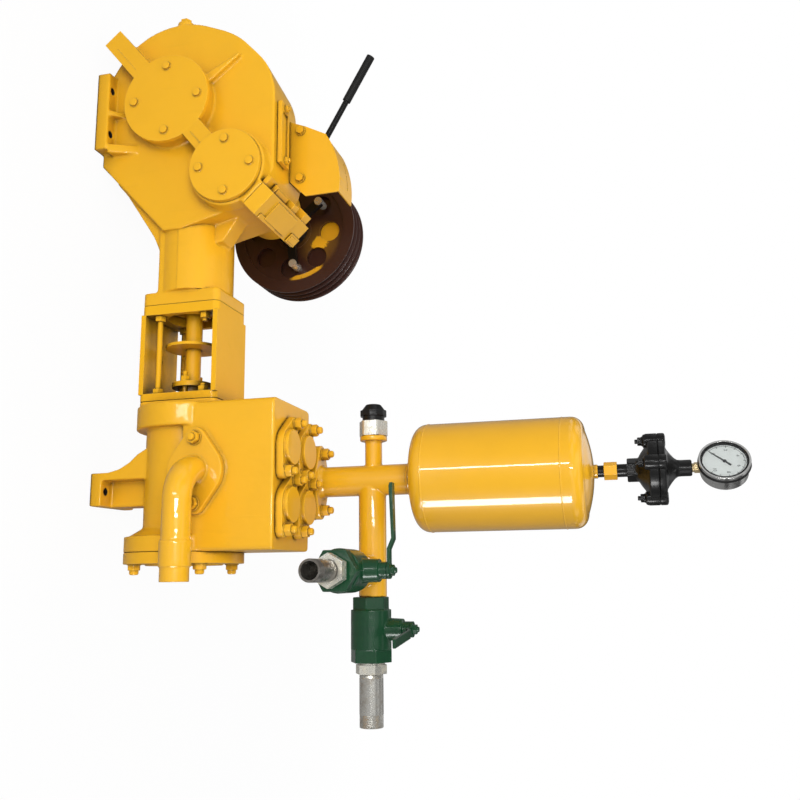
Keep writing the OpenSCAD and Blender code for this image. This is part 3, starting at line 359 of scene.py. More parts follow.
def metal(name, values):
    s = newShader(name)
    place = s.place()
    fine = s.noise(place, 600.0, 3.0, 0.6)
    blotch = s.noise(place, 55.0, 5.0, 0.7)
    edge = s.edge(0.7 * mm)
    crevice = s.crevice(7 * mm)
    stain = (blotch.step(0.42, 0.72) * values["stainAmount"]).clamped()
    shade = s.blend(stain, colour(*values["metal"]), colour(*values["stain"]))
    # brighter metal on convex edges: a painted highlight, with some polish from wear
    shade = s.blend(edge * 0.4, shade, colour(*[min(1.0, c * 1.25) for c in values["metal"]]))
    if "oiled" in values:
        # the near nipple is oily, and both bores get painted shade
        near = 1.0 - axisDistance(s, place, values["oiledAt"]).step(*values["oiledEdge"])
        oiled = near * (0.6 + blotch * 0.8) * values["oiledAmount"]
        shade = s.blend(oiled.clamped(), shade, colour(*values["oiled"]))
        shade = s.blend(s.crevice(values["boreReach"]).step(0.5, 0.85) * 0.95, shade, colour(*values["dark"]))
    # painted shade in crevices and under nuts
    shade = s.blend(crevice.step(0.3, 0.85) * 0.7, shade, colour(*values["dark"]))
    normal = s.bump(fine * 0.25 + blotch * 0.35, 0.25 * mm)
    return s.surface(s.make("BsdfPrincipled", {}, {
        "Base Color": shade, "Metallic": values["metallic"] - stain * 0.3,
        "Roughness": values["roughness"] + stain * 0.25 + fine * 0.10, "Normal": normal}))


dialValues = {"face": (0.800, 0.800, 0.780), "shade": (0.700, 0.690, 0.660)}


def dialFace(name, values):
    s = newShader(name)
    place = s.place()
    grain = s.noise(place, 900.0, 3.0, 0.6)
    blotch = s.noise(place, 60.0, 3.0, 0.6)
    face = s.blend(blotch.step(0.3, 0.8) * 0.5, colour(*values["face"]), colour(*values["shade"]))
    return s.surface(s.make("BsdfPrincipled", {}, {
        "Base Color": face, "Roughness": 0.42 + blotch * 0.1, "Normal": s.bump(grain, 0.05 * mm)}))


inkValues = {"ink": (0.015, 0.015, 0.018), "thin": (0.060, 0.060, 0.065)}


def inkPrint(name, values):
    s = newShader(name)
    place = s.place()
    grain = s.noise(place, 700.0, 3.0, 0.6)
    ink = s.blend(grain.step(0.5, 0.7) * 0.6, colour(*values["ink"]), colour(*values["thin"]))
    return s.surface(s.make("BsdfPrincipled", {}, {
        "Base Color": ink, "Roughness": 0.40 + grain * 0.1, "Normal": s.bump(grain, 0.05 * mm)}))


glassValues = {"tint": (0.970, 0.985, 0.985), "smear": 0.10}


def clearGlass(name, values):
    s = newShader(name)
    place = s.place()
    smear = s.noise(place, 70.0, 4.0, 0.6)
    weight = s.make("Fresnel", {}, {"IOR": 1.35})
    normal = s.bump(smear, 0.06 * mm)
    through = s.make("BsdfTransparent", {}, {"Color": colour(*values["tint"])})
    shine = s.make("BsdfPrincipled", {}, {"Base Color": colour(0.9, 0.9, 0.9), "Metallic": 1.0,
                                          "Roughness": 0.03 + smear * values["smear"], "Normal": normal})
    s.owner.use_transparent_shadow = True
    return s.surface(s.make("MixShader", {}, {0: weight * 0.8, 1: through, 2: shine}))


say("materials")
looks = {
    "yellow_paint": yellowPaint("yellow_cast", yellowValues),
    "yellow_smooth": yellowPaint("yellow_smooth", {**yellowValues, "lump": 0.30, "peel": 0.4, "runs": 0.4,
                                                   "roughness": 0.25, "coat": 0.9, "coatRoughness": 0.03}),
    "yellow_tank": yellowPaint("yellow_tank", {**yellowValues, "lump": 0.10, "peel": 0.10, "runs": 0.0,
                                               "roughness": 0.30, "coat": 1.0, "coatRoughness": 0.015}),
    # deep painted shade inside the frame's window, with oily grime
    "yellow_oil_and_shade": yellowPaint("yellow_oil_and_shade", {**yellowValues, "oilFilmAndShade": (0.040, 0.026, 0.005), "oilAndShadeAmount": 0.96,
                                               "oilAndShadeRange": (0.20, 0.56), "oilAndShadeReach": 60 * mm,
                                               "coat": 0.15, "shine": 0.12}),
    "red_brown_paint": redBrownPaint("red_brown", redBrownValues),
    "green_paint": greenPaint("green_enamel", greenValues),
    "black_paint": blackPaint("black_gloss", blackGlossValues),
    "black_steel": blackPaint("black_steel", blackGlossValues),
    "black_grip": blackPaint("black_grip", blackMattValues),
    "bare_steel": metal("bare_steel", bareSteelValues),
    "pale_zinc": metal("pale_zinc", zincValues),
    "stainless": metal("stainless", stainlessValues),
    "brass": metal("brass", brassValues),
    "dial_white": dialFace("dial_white", dialValues),
    "needle_black": inkPrint("needle_black", inkValues),
    "clear_glass": clearGlass("clear_glass", glassValues),
}


# Mesh helpers


# A piece from a mesh, riding on the body of its first node, in the finish of that node's slot unless a look is given
def addPiece(name, mesh, nodes, look=None, smooth=None):
    slot = slotOf[nodes[0]]
    if not mesh.materials:
        mesh.materials.append(looks[look or slot])
    if smooth is not None:
        mesh.polygons.foreach_set("use_smooth", [True] * len(mesh.polygons))
        mesh.set_sharp_from_angle(angle=math.radians(smooth))
        mesh = shaped(mesh, ("WEIGHTED_NORMAL", {"keep_sharp": True, "weight": 60}))
    piece = bpy.data.objects.new(name, mesh)
    scene.collection.objects.link(piece)
    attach(piece, bodyOf[nodes[0]])
    return piece


# The mesh of a CAD node, welded, with its flat faces whole
def cleanMesh(node, weld=0.04 * mm, dissolve=0.6):
    mesh = bpy.data.meshes.new(node + "_mesh")
    grid = bmesh.new()
    grid.from_mesh(frame["nodes"][node].data)
    for layer in list(grid.loops.layers.uv.values()):
        grid.loops.layers.uv.remove(layer)
    bmesh.ops.remove_doubles(grid, verts=grid.verts, dist=weld)
    if dissolve:
        bmesh.ops.dissolve_limit(grid, angle_limit=math.radians(dissolve), verts=grid.verts,
                                 edges=grid.edges, use_dissolve_boundaries=False)
    grid.to_mesh(mesh)
    grid.free()
    return mesh


# Runs modifiers over a mesh and returns the result as a new mesh
def shaped(mesh, *modifiers):
    holder = bpy.data.objects.new("holder", mesh)
    scene.collection.objects.link(holder)
    for kind, settings in modifiers:
        modifier = holder.modifiers.new(kind.lower(), kind)
        for key, value in settings.items():
            setattr(modifier, key, value)
    graph = bpy.context.evaluated_depsgraph_get()
    result = bpy.data.meshes.new_from_object(holder.evaluated_get(graph))
    bpy.data.objects.remove(holder)
    return result


def bevelled(mesh, width, segments=2, angle=28.0):
    return shaped(mesh, ("BEVEL", {"width": width, "segments": segments, "limit_method": "ANGLE",
                                   "angle_limit": math.radians(angle), "use_clamp_overlap": True,
                                   "harden_normals": False, "miter_outer": "MITER_ARC"}))


# Rounds a casting: its corners soften and its surface turns slightly uneven
def cast(node, voxel, rounds, uneven, grain=55.0, keep=1.0):
    result = shaped(cleanMesh(node, dissolve=0.0),
                    ("REMESH", {"mode": "VOXEL", "voxel_size": voxel, "adaptivity": 0.0}),
                    ("SMOOTH", {"factor": 0.5, "iterations": rounds}))
    count = len(result.vertices)
    places = numpy.empty(count * 3)
    normals = numpy.empty(count * 3)
    result.vertices.foreach_get("co", places)
    result.vertex_normals.foreach_get("vector", normals)
    places = places.reshape(-1, 3)
    lift = numpy.array([noise.noise(Vector(spot) * grain) + 0.4 * noise.noise(Vector(spot) * grain * 2.7)
                        for spot in places])
    places += normals.reshape(-1, 3) * (lift * uneven)[:, None]
    result.vertices.foreach_set("co", places.ravel())
    if keep < 1.0:
        result = shaped(result, ("DECIMATE", {"ratio": keep}))
    places = numpy.empty(len(result.vertices) * 3)
    result.vertices.foreach_get("co", places)
    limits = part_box(node)
    places = numpy.clip(places.reshape(-1, 3), numpy.array(limits[0]), numpy.array(limits[1]))
    result.vertices.foreach_set("co", places.ravel())
    result.polygons.foreach_set("use_smooth", [True] * len(result.polygons))
    return result


def inMm(points):
    return [(radius * mm, height * mm) for radius, height in points]


def finishGrid(grid, name):
    bmesh.ops.recalc_face_normals(grid, faces=grid.faces)
    mesh = bpy.data.meshes.new(name)
    grid.to_mesh(mesh)
    grid.free()
    return mesh


# Joins rings of points to a tube that closes on itself
def joinRings(grid, rings):
    for first, second in zip(rings, rings[1:] + rings[:1]):
        for index in range(len(first)):
            after = (index + 1) % len(first)
            grid.faces.new((first[index], second[index], second[after], first[after]))


# Turns a profile of (radius, height) points about Z; the profile closes on itself
def turned(name, profile, segments=96, wobble=0.0):
    grid = bmesh.new()
    rings = []
    for step in range(segments):
        angle = 2 * math.pi * step / segments
        ring = []
        for radius, height in profile:
            if wobble:
                radius += wobble * noise.noise(Vector((math.cos(angle) * 9, math.sin(angle) * 9, height * 90)))
            ring.append(grid.verts.new((radius * math.cos(angle), radius * math.sin(angle), height)))
        rings.append(ring)
    joinRings(grid, rings)
    return finishGrid(grid, name)


def turnTo(axis):
    return Vector((0, 0, 1)).rotation_difference(Vector(axis)).to_matrix().to_4x4()


def moved(mesh, origin, axis):
    mesh.transform(Matrix.Translation(Vector(origin)) @ turnTo(axis))
    return mesh


# Sets a face's material by a rule on its centre
def paintFaces(mesh, materials, rule):
    for material in materials:
        mesh.materials.append(material)
    for face in mesh.polygons:
        face.material_index = rule(face.center)


# Castings

castValues = {
    "crankcase": {"voxel": 2.3, "rounds": 5, "uneven": 0.22, "keep": 0.62},
    "fluid_end": {"voxel": 2.1, "rounds": 4, "uneven": 0.20, "keep": 0.6},
    "suction_elbow": {"voxel": 1.5, "rounds": 4, "uneven": 0.16, "keep": 0.6, "look": "yellow_smooth"},
    "discharge_manifold": {"voxel": 1.5, "rounds": 4, "uneven": 0.06, "keep": 0.6, "look": "yellow_smooth"},
    "valve_1_body": {"voxel": 1.1, "rounds": 3, "uneven": 0.14, "keep": 0.7},
    "valve_2_body": {"voxel": 1.1, "rounds": 3, "uneven": 0.14, "keep": 0.7},
}
for node, values in castValues.items():
    say("casting " + node)
    body = cast(node, values["voxel"] * mm * (1.0), values["rounds"],
                values["uneven"] * mm, keep=values["keep"])
    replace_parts(addPiece("cast_" + node, body, [node], values.get("look")), node)


# Machined and sheet pieces: bevel width in mm and segments

bevelValues = {
    "clutch_bracket": (1.6, 3), "inspection_cover": (1.0, 2), "filler_plug": (0.8, 2), "clutch_guard": (0.8, 2),
    "distance_frame": (1.8, 3), "frame_studs": (0.8, 2), "packing_gland": (0.9, 2), "cylinder_cover": (2.2, 3),
    "valve_covers": (1.6, 3), "relief_nut": (0.8, 2), "relief_cap": (1.0, 2), "tank_shell": (0.3, 1),
    "tank_bottom_end": (1.0, 2), "tank_top_end": (1.0, 2), "gauge_nipple": (0.6, 2), "gauge_nut": (0.9, 2),
    "gauge_stem": (0.5, 2), "gauge_case": (1.0, 3), "gauge_dial": (0.2, 1), "gauge_glass": (0.3, 2),
    "outlet_bushings": (0.9, 2), "valve_1_lever": (1.2, 3), "valve_2_lever": (1.2, 3),
    "belt_pulley": (0.9, 2), "pulley_shaft": (1.0, 2), "piston_rod": (0.8, 2), "baffle_disc": (0.8, 2),
}
ownLooks = {
    "tank_shell": "yellow_tank", "tank_bottom_end": "yellow_tank", "tank_top_end": "yellow_tank",
    "distance_frame": "yellow_oil_and_shade", "frame_studs": "yellow_oil_and_shade", "packing_gland": "yellow_oil_and_shade",
    "baffle_disc": "yellow_oil_and_shade",
}
say("machined pieces")
for node, (width, segments) in bevelValues.items():
    body = bevelled(cleanMesh(node), width * mm, segments)
    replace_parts(addPiece("part_" + node, body, [node], ownLooks.get(node), smooth=32.0), node)


# Clutch lever and fingers, in two finishes each

clutchValues = {"pivot": (0.133, 0.0315, 0.4015), "gripStart": 0.1785, "pinRadius": 0.078}
clutchPivot, pulleyCentre = Vector(clutchValues["pivot"]), Vector(pulleyAxis)


def onGrip(centre):
    return 1 if (centre - clutchPivot).length > clutchValues["gripStart"] else 0


def onPin(centre):
    offset = Vector((centre.x - pulleyCentre.x, 0, centre.z - pulleyCentre.z))
    return 1 if offset.length > clutchValues["pinRadius"] else 0


for node, width, ends, rule in (("clutch_lever", 0.7, "black_grip", onGrip),
                                ("clutch_fingers", 0.8, "pale_zinc", onPin)):
    body = bevelled(cleanMesh(node), width * mm)
    body.materials.clear()
    paintFaces(body, [looks["black_steel"], looks[ends]], rule)
    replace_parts(addPiece("part_" + node, body, [node], smooth=32.0), node)


# Nuts on their studs, with thick paint on the stud ends

fastenerValues = {
    "valve_cover_studs": {"corner": 12.0, "height": 14.0, "washer": 12.8, "stud": 7.0, "tip": 9.5},
    "cover_studs": {"corner": 12.4, "height": 11.5, "washer": 13.5, "stud": 8.6, "tip": 8.5},
    "flange_bolts": {"corner": 12.4, "height": 12.0, "washer": 14.0, "stud": 6.6, "tip": 7.0},
    "valveCovers": {"centre": (0.7545, 0.407), "apart": (0.053, 0.042), "reach": 0.052, "turn": -26.0},
    "front": {"centre": (0.911, 0.175), "radius": 0.095},
    "suction": {"centre": (0.745, -0.108, 0.245), "reach": 0.060},
    "riserFoot": {"height": 0.409, "reach": 0.0565},
    "spins": (11, 37, 4, 52, 23, 44, 17, 31),
}


# Adds a closed solid of rings (radius or radius by angle, height), placed by a matrix
def loft(grid, rings, matrix, sides=48):
    made = []
    for radiusAt, height in rings:
        ring = []
        for step in range(sides):
            angle = 2 * math.pi * step / sides
            radius = radiusAt(angle) if callable(radiusAt) else radiusAt
            ring.append(grid.verts.new(matrix @ Vector((radius * math.cos(angle), radius * math.sin(angle), height))))
        made.append(ring)
    for first, second in zip(made, made[1:]):
        for step in range(sides):
            after = (step + 1) % sides
            grid.faces.new((first[step], first[after], second[after], second[step]))
    grid.faces.new(list(reversed(made[0])))
    grid.faces.new(made[-1])


def hexagon(corner, limit=1.0):
    # radius at an angle of a hexagon whose corners are cut back to a share of their reach
    flat = corner * math.cos(math.radians(30))

    def at(angle):
        turn = (math.degrees(angle) + 30.0) % 60.0 - 30.0
        return min(flat / math.cos(math.radians(30.0 - abs(turn))), corner * limit)
    return at


def addFastener(grid, place, axis, values, spin=0.0):
    matrix = Matrix.Translation(Vector(place)) @ turnTo(axis) @ Matrix.Rotation(math.radians(spin), 4, "Z")
    corner, height, washer, stud, tip = [values[key] * mm for key in ("corner", "height", "washer", "stud", "tip")]
    loft(grid, [(washer, 0.0), (washer, 1.4 * mm), (washer - 0.6 * mm, 2.0 * mm)], matrix, 32)
    loft(grid, [(hexagon(corner, 0.93), 1.6 * mm), (hexagon(corner), 2.6 * mm), (hexagon(corner), height - 2.0 * mm),
                (hexagon(corner, 0.93), height - 0.7 * mm), (hexagon(corner, 0.87), height)], matrix)
    dome = [(1.0, 0.55), (0.97, 0.72), (0.88, 0.88), (0.70, 0.97), (0.3, 1.0)]  # shares of the stud and its tip
    loft(grid, [(stud, height - 1.0 * mm)] + [(stud * wide, height + tip * high) for wide, high in dome], matrix, 24)


say("fasteners")
spins, covers, front = fastenerValues["spins"], fastenerValues["valveCovers"], fastenerValues["front"]
topGrid = bmesh.new()
coverTurn = Matrix.Rotation(math.radians(covers["turn"]), 3, "Z")
for index, (sx, sy, end) in enumerate([(a, b, c) for a in (-1, 1) for b in (-1, 1) for c in (-1, 1)]):
    offset = coverTurn @ Vector((end * covers["reach"], 0, 0))
    place = (covers["centre"][0] + sx * covers["apart"][0] + offset.x, sy * covers["apart"][1] + offset.y,
             covers["centre"][1])
    addFastener(topGrid, place, (0, 0, 1), fastenerValues["valve_cover_studs"], spins[index])
frontGrid = bmesh.new()
for index in range(4):
    angle = math.radians(90 * (index + 0.5))
    place = (front["centre"][0], front["radius"] * math.cos(angle),
             front["centre"][1] + front["radius"] * math.sin(angle))
    addFastener(frontGrid, place, (1, 0, 0), fastenerValues["cover_studs"], spins[index])
boltGrid = bmesh.new()
suction, foot = fastenerValues["suction"], fastenerValues["riserFoot"]
for end in (-1, 1):
    addFastener(boltGrid, Vector(suction["centre"]) + Vector((end * suction["reach"], 0, 0)), (0, -1, 0),
                fastenerValues["flange_bolts"], 12 + end * 9)
    addFastener(boltGrid, (riserAt[0] + end * foot["reach"], riserAt[1], foot["height"]), (0, 0, 1),
                fastenerValues["valve_cover_studs"], 20 + end * 14)
for node, grid in (("valve_cover_studs", topGrid), ("cover_studs", frontGrid), ("flange_bolts", boltGrid)):
    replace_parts(addPiece("nuts_" + node, finishGrid(grid, node), [node], smooth=35.0), node)


# Bearing covers with round-headed bolts, and the tongues that join them to the beam

coverValues = {
    "crank_cover_near": {"centre": (0.0, -0.110, 0.163), "facing": (0, -1, 0), "radius": 92.0, "circle": 69.0},
    "crank_cover_far": {"centre": (0.0, 0.090, 0.163), "facing": (0, 1, 0), "radius": 92.0, "circle": 69.0},
    "pinion_cover": {"centre": (0.163, -0.117, 0.2975), "facing": (0, -1, 0), "radius": 73.0, "circle": 53.0},
    "thick": 10.0, "boltRadius": 8.0, "boltHeight": 5.5, "washer": 9.6,
}
beamAngle = math.atan2(134.5, 163.0)  # from the crank's centre up to the pinion's
tongueValues = {
    # low and high corner along the beam in mm, and how far the far end slopes
    "crank_cover_near": [((-199, -9.8, -21.5), (-55, 1, 21.5), 0.0), ((-170, -10.4, -7.8), (-100, -9, -6.6), 0.0)],
    "pinion_cover": [((-124, -2.4, -21.5), (-45, 6, 21.5), -7.4), ((-112, -4.6, -7.8), (-72, 0, -6.6), -4.2)],
}


# Adds a box with its own frame: eight corners from the low and high ends of each axis
def addBlock(grid, matrix, low, high, slope=0.0):
    corners = []
    for x in (low[0], high[0]):
        for y in (low[1], high[1]):
            for z in (low[2], high[2]):
                shift = slope if (x == high[0] and y == low[1]) else 0.0
                corners.append(grid.verts.new(matrix @ Vector((x * mm, (y + shift) * mm, z * mm))))
    for a, b, c, d in ((0, 1, 3, 2), (4, 6, 7, 5), (0, 4, 5, 1), (2, 3, 7, 6), (0, 2, 6, 4), (1, 5, 7, 3)):
        grid.faces.new((corners[a], corners[b], corners[c], corners[d]))


def beamFrame(place, turn):
    return Matrix.Translation(Vector(place)) @ Matrix.Rotation(-turn, 4, "Y")


say("covers")
thick, size, rise, washer = [coverValues[key] * mm for key in ("thick", "boltRadius", "boltHeight", "washer")]
for node in ("crank_cover_near", "crank_cover_far", "pinion_cover"):
    values = coverValues[node]
    radius, circle = values["radius"] * mm, values["circle"] * mm
    turn = turnTo(values["facing"])
    matrix = Matrix.Translation(Vector(values["centre"])) @ turn
    grid = bmesh.new()
    loft(grid, [(radius, 0.0), (radius, thick - 1.6 * mm), (radius - 0.5 * mm, thick - 0.5 * mm),
                (radius - 1.6 * mm, thick)], matrix, 128)
    for bolt in range(4):
        angle = math.pi / 2 * bolt
        head = Matrix.Translation(matrix @ Vector((circle * math.cos(angle), circle * math.sin(angle), 0))) @ turn
        loft(grid, [(washer, thick - 1 * mm), (washer, thick + 0.7 * mm), (washer - 0.5 * mm, thick + 1.1 * mm)],
             head, 32)
        loft(grid, [(size, thick), (size, thick + rise - 1.2 * mm), (size * 0.95, thick + rise - 0.4 * mm),
                    (size * 0.82, thick + rise), (size * 0.45, thick + rise + 0.3 * mm)], head, 32)
    for low, high, slope in tongueValues.get(node, []):
        addBlock(grid, beamFrame(values["centre"], beamAngle), low, high, slope)
    body = bevelled(finishGrid(grid, node), 0.9 * mm, 2, angle=50.0)
    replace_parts(addPiece("cover_" + node, body, [node], smooth=38.0), node)


# Small plates of the clutch bracket, hood of the neck, dark linings that paint the shade inside the bolt holes

bracketValues = {
    "centre": (0.163, -0.117, 0.2975), "turn": 43.0,
    "plates": [((117, 146, -25), (120.5, 186, -4)), ((117, 14, -27), (119.5, 89, -17)),
               ((120, 150, -21), (122, 182, -8)), ((88, 30, 26), (97, 88, 42)), ((76, 8, 26), (86, 40, 46)),
               ((97, 34, 28), (99, 84, 39))],
}
say("bracket and neck")
bracketFrame = beamFrame(bracketValues["centre"], math.radians(bracketValues["turn"]))
grid = bmesh.new()
for low, high in bracketValues["plates"]:
    addBlock(grid, bracketFrame, low, high)
addPiece("bracket_plates", bevelled(finishGrid(grid, "bracket_plates"), 0.9 * mm, 2), ["clutch_bracket"], smooth=32.0)

neckValues = {
    "start": 222.0, "end": 384.0,
    "half": [(76.8, 178.0), (77.2, 181.0), (76.0, 200.0), (71.0, 216.0), (61.0, 230.0), (46.0, 241.5),
             (28.0, 249.0), (9.0, 252.6)],
}
grid = bmesh.new()
outline = [(-y, z) for y, z in neckValues["half"]] + [(y, z) for y, z in reversed(neckValues["half"])]
ends = [[grid.verts.new((x * mm, y * mm, z * mm)) for y, z in outline]
        for x in (neckValues["start"], neckValues["end"])]
grid.faces.new(list(reversed(ends[0])))
grid.faces.new(ends[1])
for index in range(len(outline)):
    after = (index + 1) % len(outline)
    grid.faces.new((ends[0][index], ends[0][after], ends[1][after], ends[1][index]))
addPiece("neck_hood", bevelled(finishGrid(grid, "neck_hood"), 1.2 * mm, 2, angle=50.0), ["crankcase"], smooth=40.0)

holeValues = {
    "outer": 7.5, "inner": 5.9, "bottom": 0.6,
    "crankcase": {"top": 26.8, "places": [(0.048, 0.096), (-0.048, 0.096), (0.048, -0.096), (-0.048, -0.096)]},
    "fluid_end": {"top": 22.8, "places": [(0.771, 0.042), (0.771, -0.042)]},
}
inner, outer, bottom = holeValues["inner"], holeValues["outer"], holeValues["bottom"]
# black tubes inside the feet's bolt holes: painted shade
for node in ("crankcase", "fluid_end"):
    top = holeValues[node]["top"]
    grid = bmesh.new()
    for x, y in holeValues[node]["places"]:
        holeShadeLining = turned("holeShadeLining", inMm([(inner, bottom), (outer, bottom), (outer, top), (inner, top)]), 32)
        holeShadeLining.transform(Matrix.Translation((x, y, 0)))
        grid.from_mesh(holeShadeLining)
    addPiece("hole_shade_tubes_" + node, finishGrid(grid, "hole_shade_linings"), [node], "black_grip", smooth=35.0)


# Diaphragm seal: two flanged bowls with four bolted lugs

sealValues = {
    "lower": [(3, 0), (12, 0), (12, 21), (21, 36), (23, 39), (30, 43), (40, 50), (48, 54), (53.4, 56.5), (55, 59),
              (55, 72.2), (53.2, 74), (3, 74)],
    "upper": [(3, 0), (53.4, 0), (55, 1.6), (55, 9.0), (53.6, 11.6), (48, 12.8), (38, 14.2), (33, 17), (26, 22),
              (19, 28), (15.6, 33), (15, 38), (15, 56), (13.6, 58), (3, 58)],
    "lugs": (4.0, 94.0, 184.0, 262.0), "lugAt": 52.0, "lugRadius": 14.0, "hexagon": 22.0,
    # share of the lug's radius, height
    "lowerLug": [(0.62, 47), (0.88, 49.5), (1.0, 55), (1.0, 72.6), (0.94, 73.9)],
    "upperLug": [(0.94, 0.1), (1.0, 1.4), (1.0, 11), (0.9, 13.4), (0.6, 14.6)],
    "washer": [(8.6, 45.6), (8.6, 48)], "nut": 7.9, "bolt": [(3.4, 34), (4.2, 35), (4.2, 48)],
}
say("seal")
lugAt, wide = sealValues["lugAt"] * mm, sealValues["lugRadius"] * mm
nut, corner = sealValues["nut"] * mm, sealValues["hexagon"] * mm
for node, key in (("seal_body", "lower"), ("seal_cap", "upper")):
    grid = bmesh.new()
    grid.from_mesh(turned(node, inMm(sealValues[key]), 96))
    for degrees in sealValues["lugs"]:
        angle = math.radians(degrees)
        lug = Matrix.Translation((lugAt * math.cos(angle), lugAt * math.sin(angle), 0))
        loft(grid, [(wide * share, height * mm) for share, height in sealValues[key + "Lug"]], lug, 40)
        if key == "lower":
            loft(grid, inMm(sealValues["washer"]), lug, 32)
            loft(grid, [(hexagon(nut, 0.92), 39 * mm), (hexagon(nut), 40.5 * mm), (hexagon(nut), 46 * mm)], lug, 48)
            loft(grid, inMm(sealValues["bolt"]), lug, 24)
    if key == "lower":
        loft(grid, [(hexagon(corner, 0.94), 18 * mm), (hexagon(corner), 19.6 * mm), (hexagon(corner), 38 * mm)],
             Matrix.Identity(4), 48)
    body = finishGrid(grid, node)
    body.transform(Matrix.Translation((*riserAt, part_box(node)[0][2])))
    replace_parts(addPiece(node + "_bowl", body, [node], smooth=38.0), node)


# Plate behind the pulley's holes

plateValues = {"axis": (0.163, 0.246, 0.2975), "profile": [(44.0, 0.0), (119.0, 0.0), (119.0, 2.0), (44.0, 2.0)]}
plateMesh = moved(turned("pulley_plate", inMm(plateValues["profile"]), 72), plateValues["axis"], (0, 1, 0))
addPiece("pulley_plate", plateMesh, ["belt_pulley"], smooth=35.0)


# Outlet nipples with their threads

nippleValues = {
    "near": {"origin": (0.928, -0.133, 0.512), "axis": (0, -1, 0), "radius": 19.25, "length": 85.0,
             "wall": 4.0, "thread": 20.0},
    "far": {"origin": (1.120, 0.126, 0.510), "axis": (1, 0, 0), "radius": 23.0, "length": 98.0,
            "wall": 4.0, "thread": 24.0},
    "pitch": 2.3, "depth": 0.9, "root": 12.0, "rootThread": 9.0, "wobble": 0.05,
}


def nippleMesh(name, values):
    radius, length = values["radius"], values["length"]
    pitch, depth = nippleValues["pitch"], nippleValues["depth"]
    start = length - values["thread"]
    outer = [(radius - 1.2, -nippleValues["root"]), (radius - 1.2, -0.2), (radius - 0.8, 1.0)]
    height = 1.0 + pitch * 0.5
    while height < nippleValues["rootThread"]:
        outer += [(radius - depth * 0.8, height), (radius - 0.05, height + pitch * 0.5)]
        height += pitch
    outer += [(radius - 0.05, height + 1.0), (radius - 0.05, start)]
    height = start + pitch * 0.5
    while height < length - 1.5:
        outer += [(radius - depth, height), (radius - 0.1, height + pitch * 0.5)]
        height += pitch
    outer += [(radius - 1.1, length)]
    inner = [(radius - values["wall"], length), (radius - values["wall"], -nippleValues["root"])]
    return moved(turned(name, inMm(outer + inner), 72, nippleValues["wobble"] * mm), values["origin"], values["axis"])


say("nipples")
for side in ("near", "far"):
    addPiece("nipple_" + side, nippleMesh("nipple_" + side, nippleValues[side]), ["outlet_nipples"], smooth=30.0)
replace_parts(bpy.data.objects["nipple_near"], "outlet_nipples")


# Rings on the suction pipe and weld beads

ringValues = {"places": (0.893, 0.905, 0.918), "y": -0.165, "z": 0.245,
              "profile": [(25.2, -0.5), (26.3, -0.4), (26.3, 0.4), (25.2, 0.5)]}
grid = bmesh.new()
for place in ringValues["places"]:
    grid.from_mesh(moved(turned("ring", inMm(ringValues["profile"]), 64), (place, ringValues["y"], ringValues["z"]),
                         (1, 0, 0)))
addPiece("suction_rings", finishGrid(grid, "suction_rings"), ["suction_elbow"], smooth=35.0)

beadValues = {
    "tank_low": {"origin": (*riserAt, 0.635), "axis": (0, 0, 1), "radius": 105.0, "size": 1.7},
    "tank_high": {"origin": (*riserAt, 0.892), "axis": (0, 0, 1), "radius": 105.0, "size": 1.4},
    "riser_top": {"origin": (*riserAt, 0.5925), "axis": (0, 0, 1), "radius": 31.5, "size": 3.4},
    "relief_ring": {"origin": (0.6735, 0.126, 0.517), "axis": (1, 0, 0), "radius": 17.4, "size": 2.4},
    "boss": {"origin": (*riserAt, 0.943), "axis": (0, 0, 1), "radius": 13.5, "size": 2.4},
}
beadSides = 8


# A lumpy ring: the overlapping ripples of a weld
def beadMesh(name, values, seed):
    grid = bmesh.new()
    radius, size = values["radius"] * mm, values["size"] * mm
    steps = int(radius / size * 9)
    rings = []
    for step in range(steps):
        angle = 2 * math.pi * step / steps
        ripple = 1.0 + 0.10 * math.sin(angle * radius / size * 1.6)
        ripple += 0.22 * noise.noise(Vector((math.cos(angle) * 6, math.sin(angle) * 6, seed)))
        ring = []
        for side in range(beadSides):
            turn = 2 * math.pi * side / beadSides
            out = radius + size * 0.42 * ripple * math.cos(turn)
            ring.append(grid.verts.new((out * math.cos(angle), out * math.sin(angle), size * ripple * math.sin(turn))))
        rings.append(ring)
    joinRings(grid, rings)
    return moved(finishGrid(grid, name), values["origin"], values["axis"])


say("welds")
for number, (name, values) in enumerate(beadValues.items()):
    owner = "tank_shell" if name.startswith("tank") else "discharge_manifold"
    addPiece("weld_" + name, beadMesh("weld_" + name, values, number * 3.7), [owner], "yellow_smooth", smooth=60.0)


# Gauge dial: ticks, numbers, needle and gasket

gaugeValues = {
    "centre": (*riserAt, 1.176), "turn": 33.0, "face": 15.0, "tickOuter": 37.0, "tickInner": 34.6,
    "longInner": 32.0, "tickWidth": 0.5, "longWidth": 1.1, "arcSteps": 60, "numbers": 26.0, "firstAngle": 225.0,
    "sweep": 270.0, "divisions": 50, "labels": ["0", "2", "4", "6", "8", "10"], "labelSize": 8.6,
    "needle": 33.0, "tail": 14.0, "hub": [(3.4, 0.1), (3.4, 1.3), (2.8, 1.8)],
    "gasket": [(37.6, 15.2), (40.9, 15.2), (40.9, 20.6), (38.8, 20.6)],
    "lip": [(44.0, 9.0), (46.0, 9.6), (46.4, 12.0), (45.9, 14.5), (44.0, 15.0)],
}
gaugeTurn = math.radians(gaugeValues["turn"])
gaugeMatrix = Matrix.Translation(Vector(gaugeValues["centre"])) @ Matrix((
    (math.cos(gaugeTurn), 0, -math.sin(gaugeTurn)), (-math.sin(gaugeTurn), 0, -math.cos(gaugeTurn)),
    (0, 1, 0))).to_4x4()


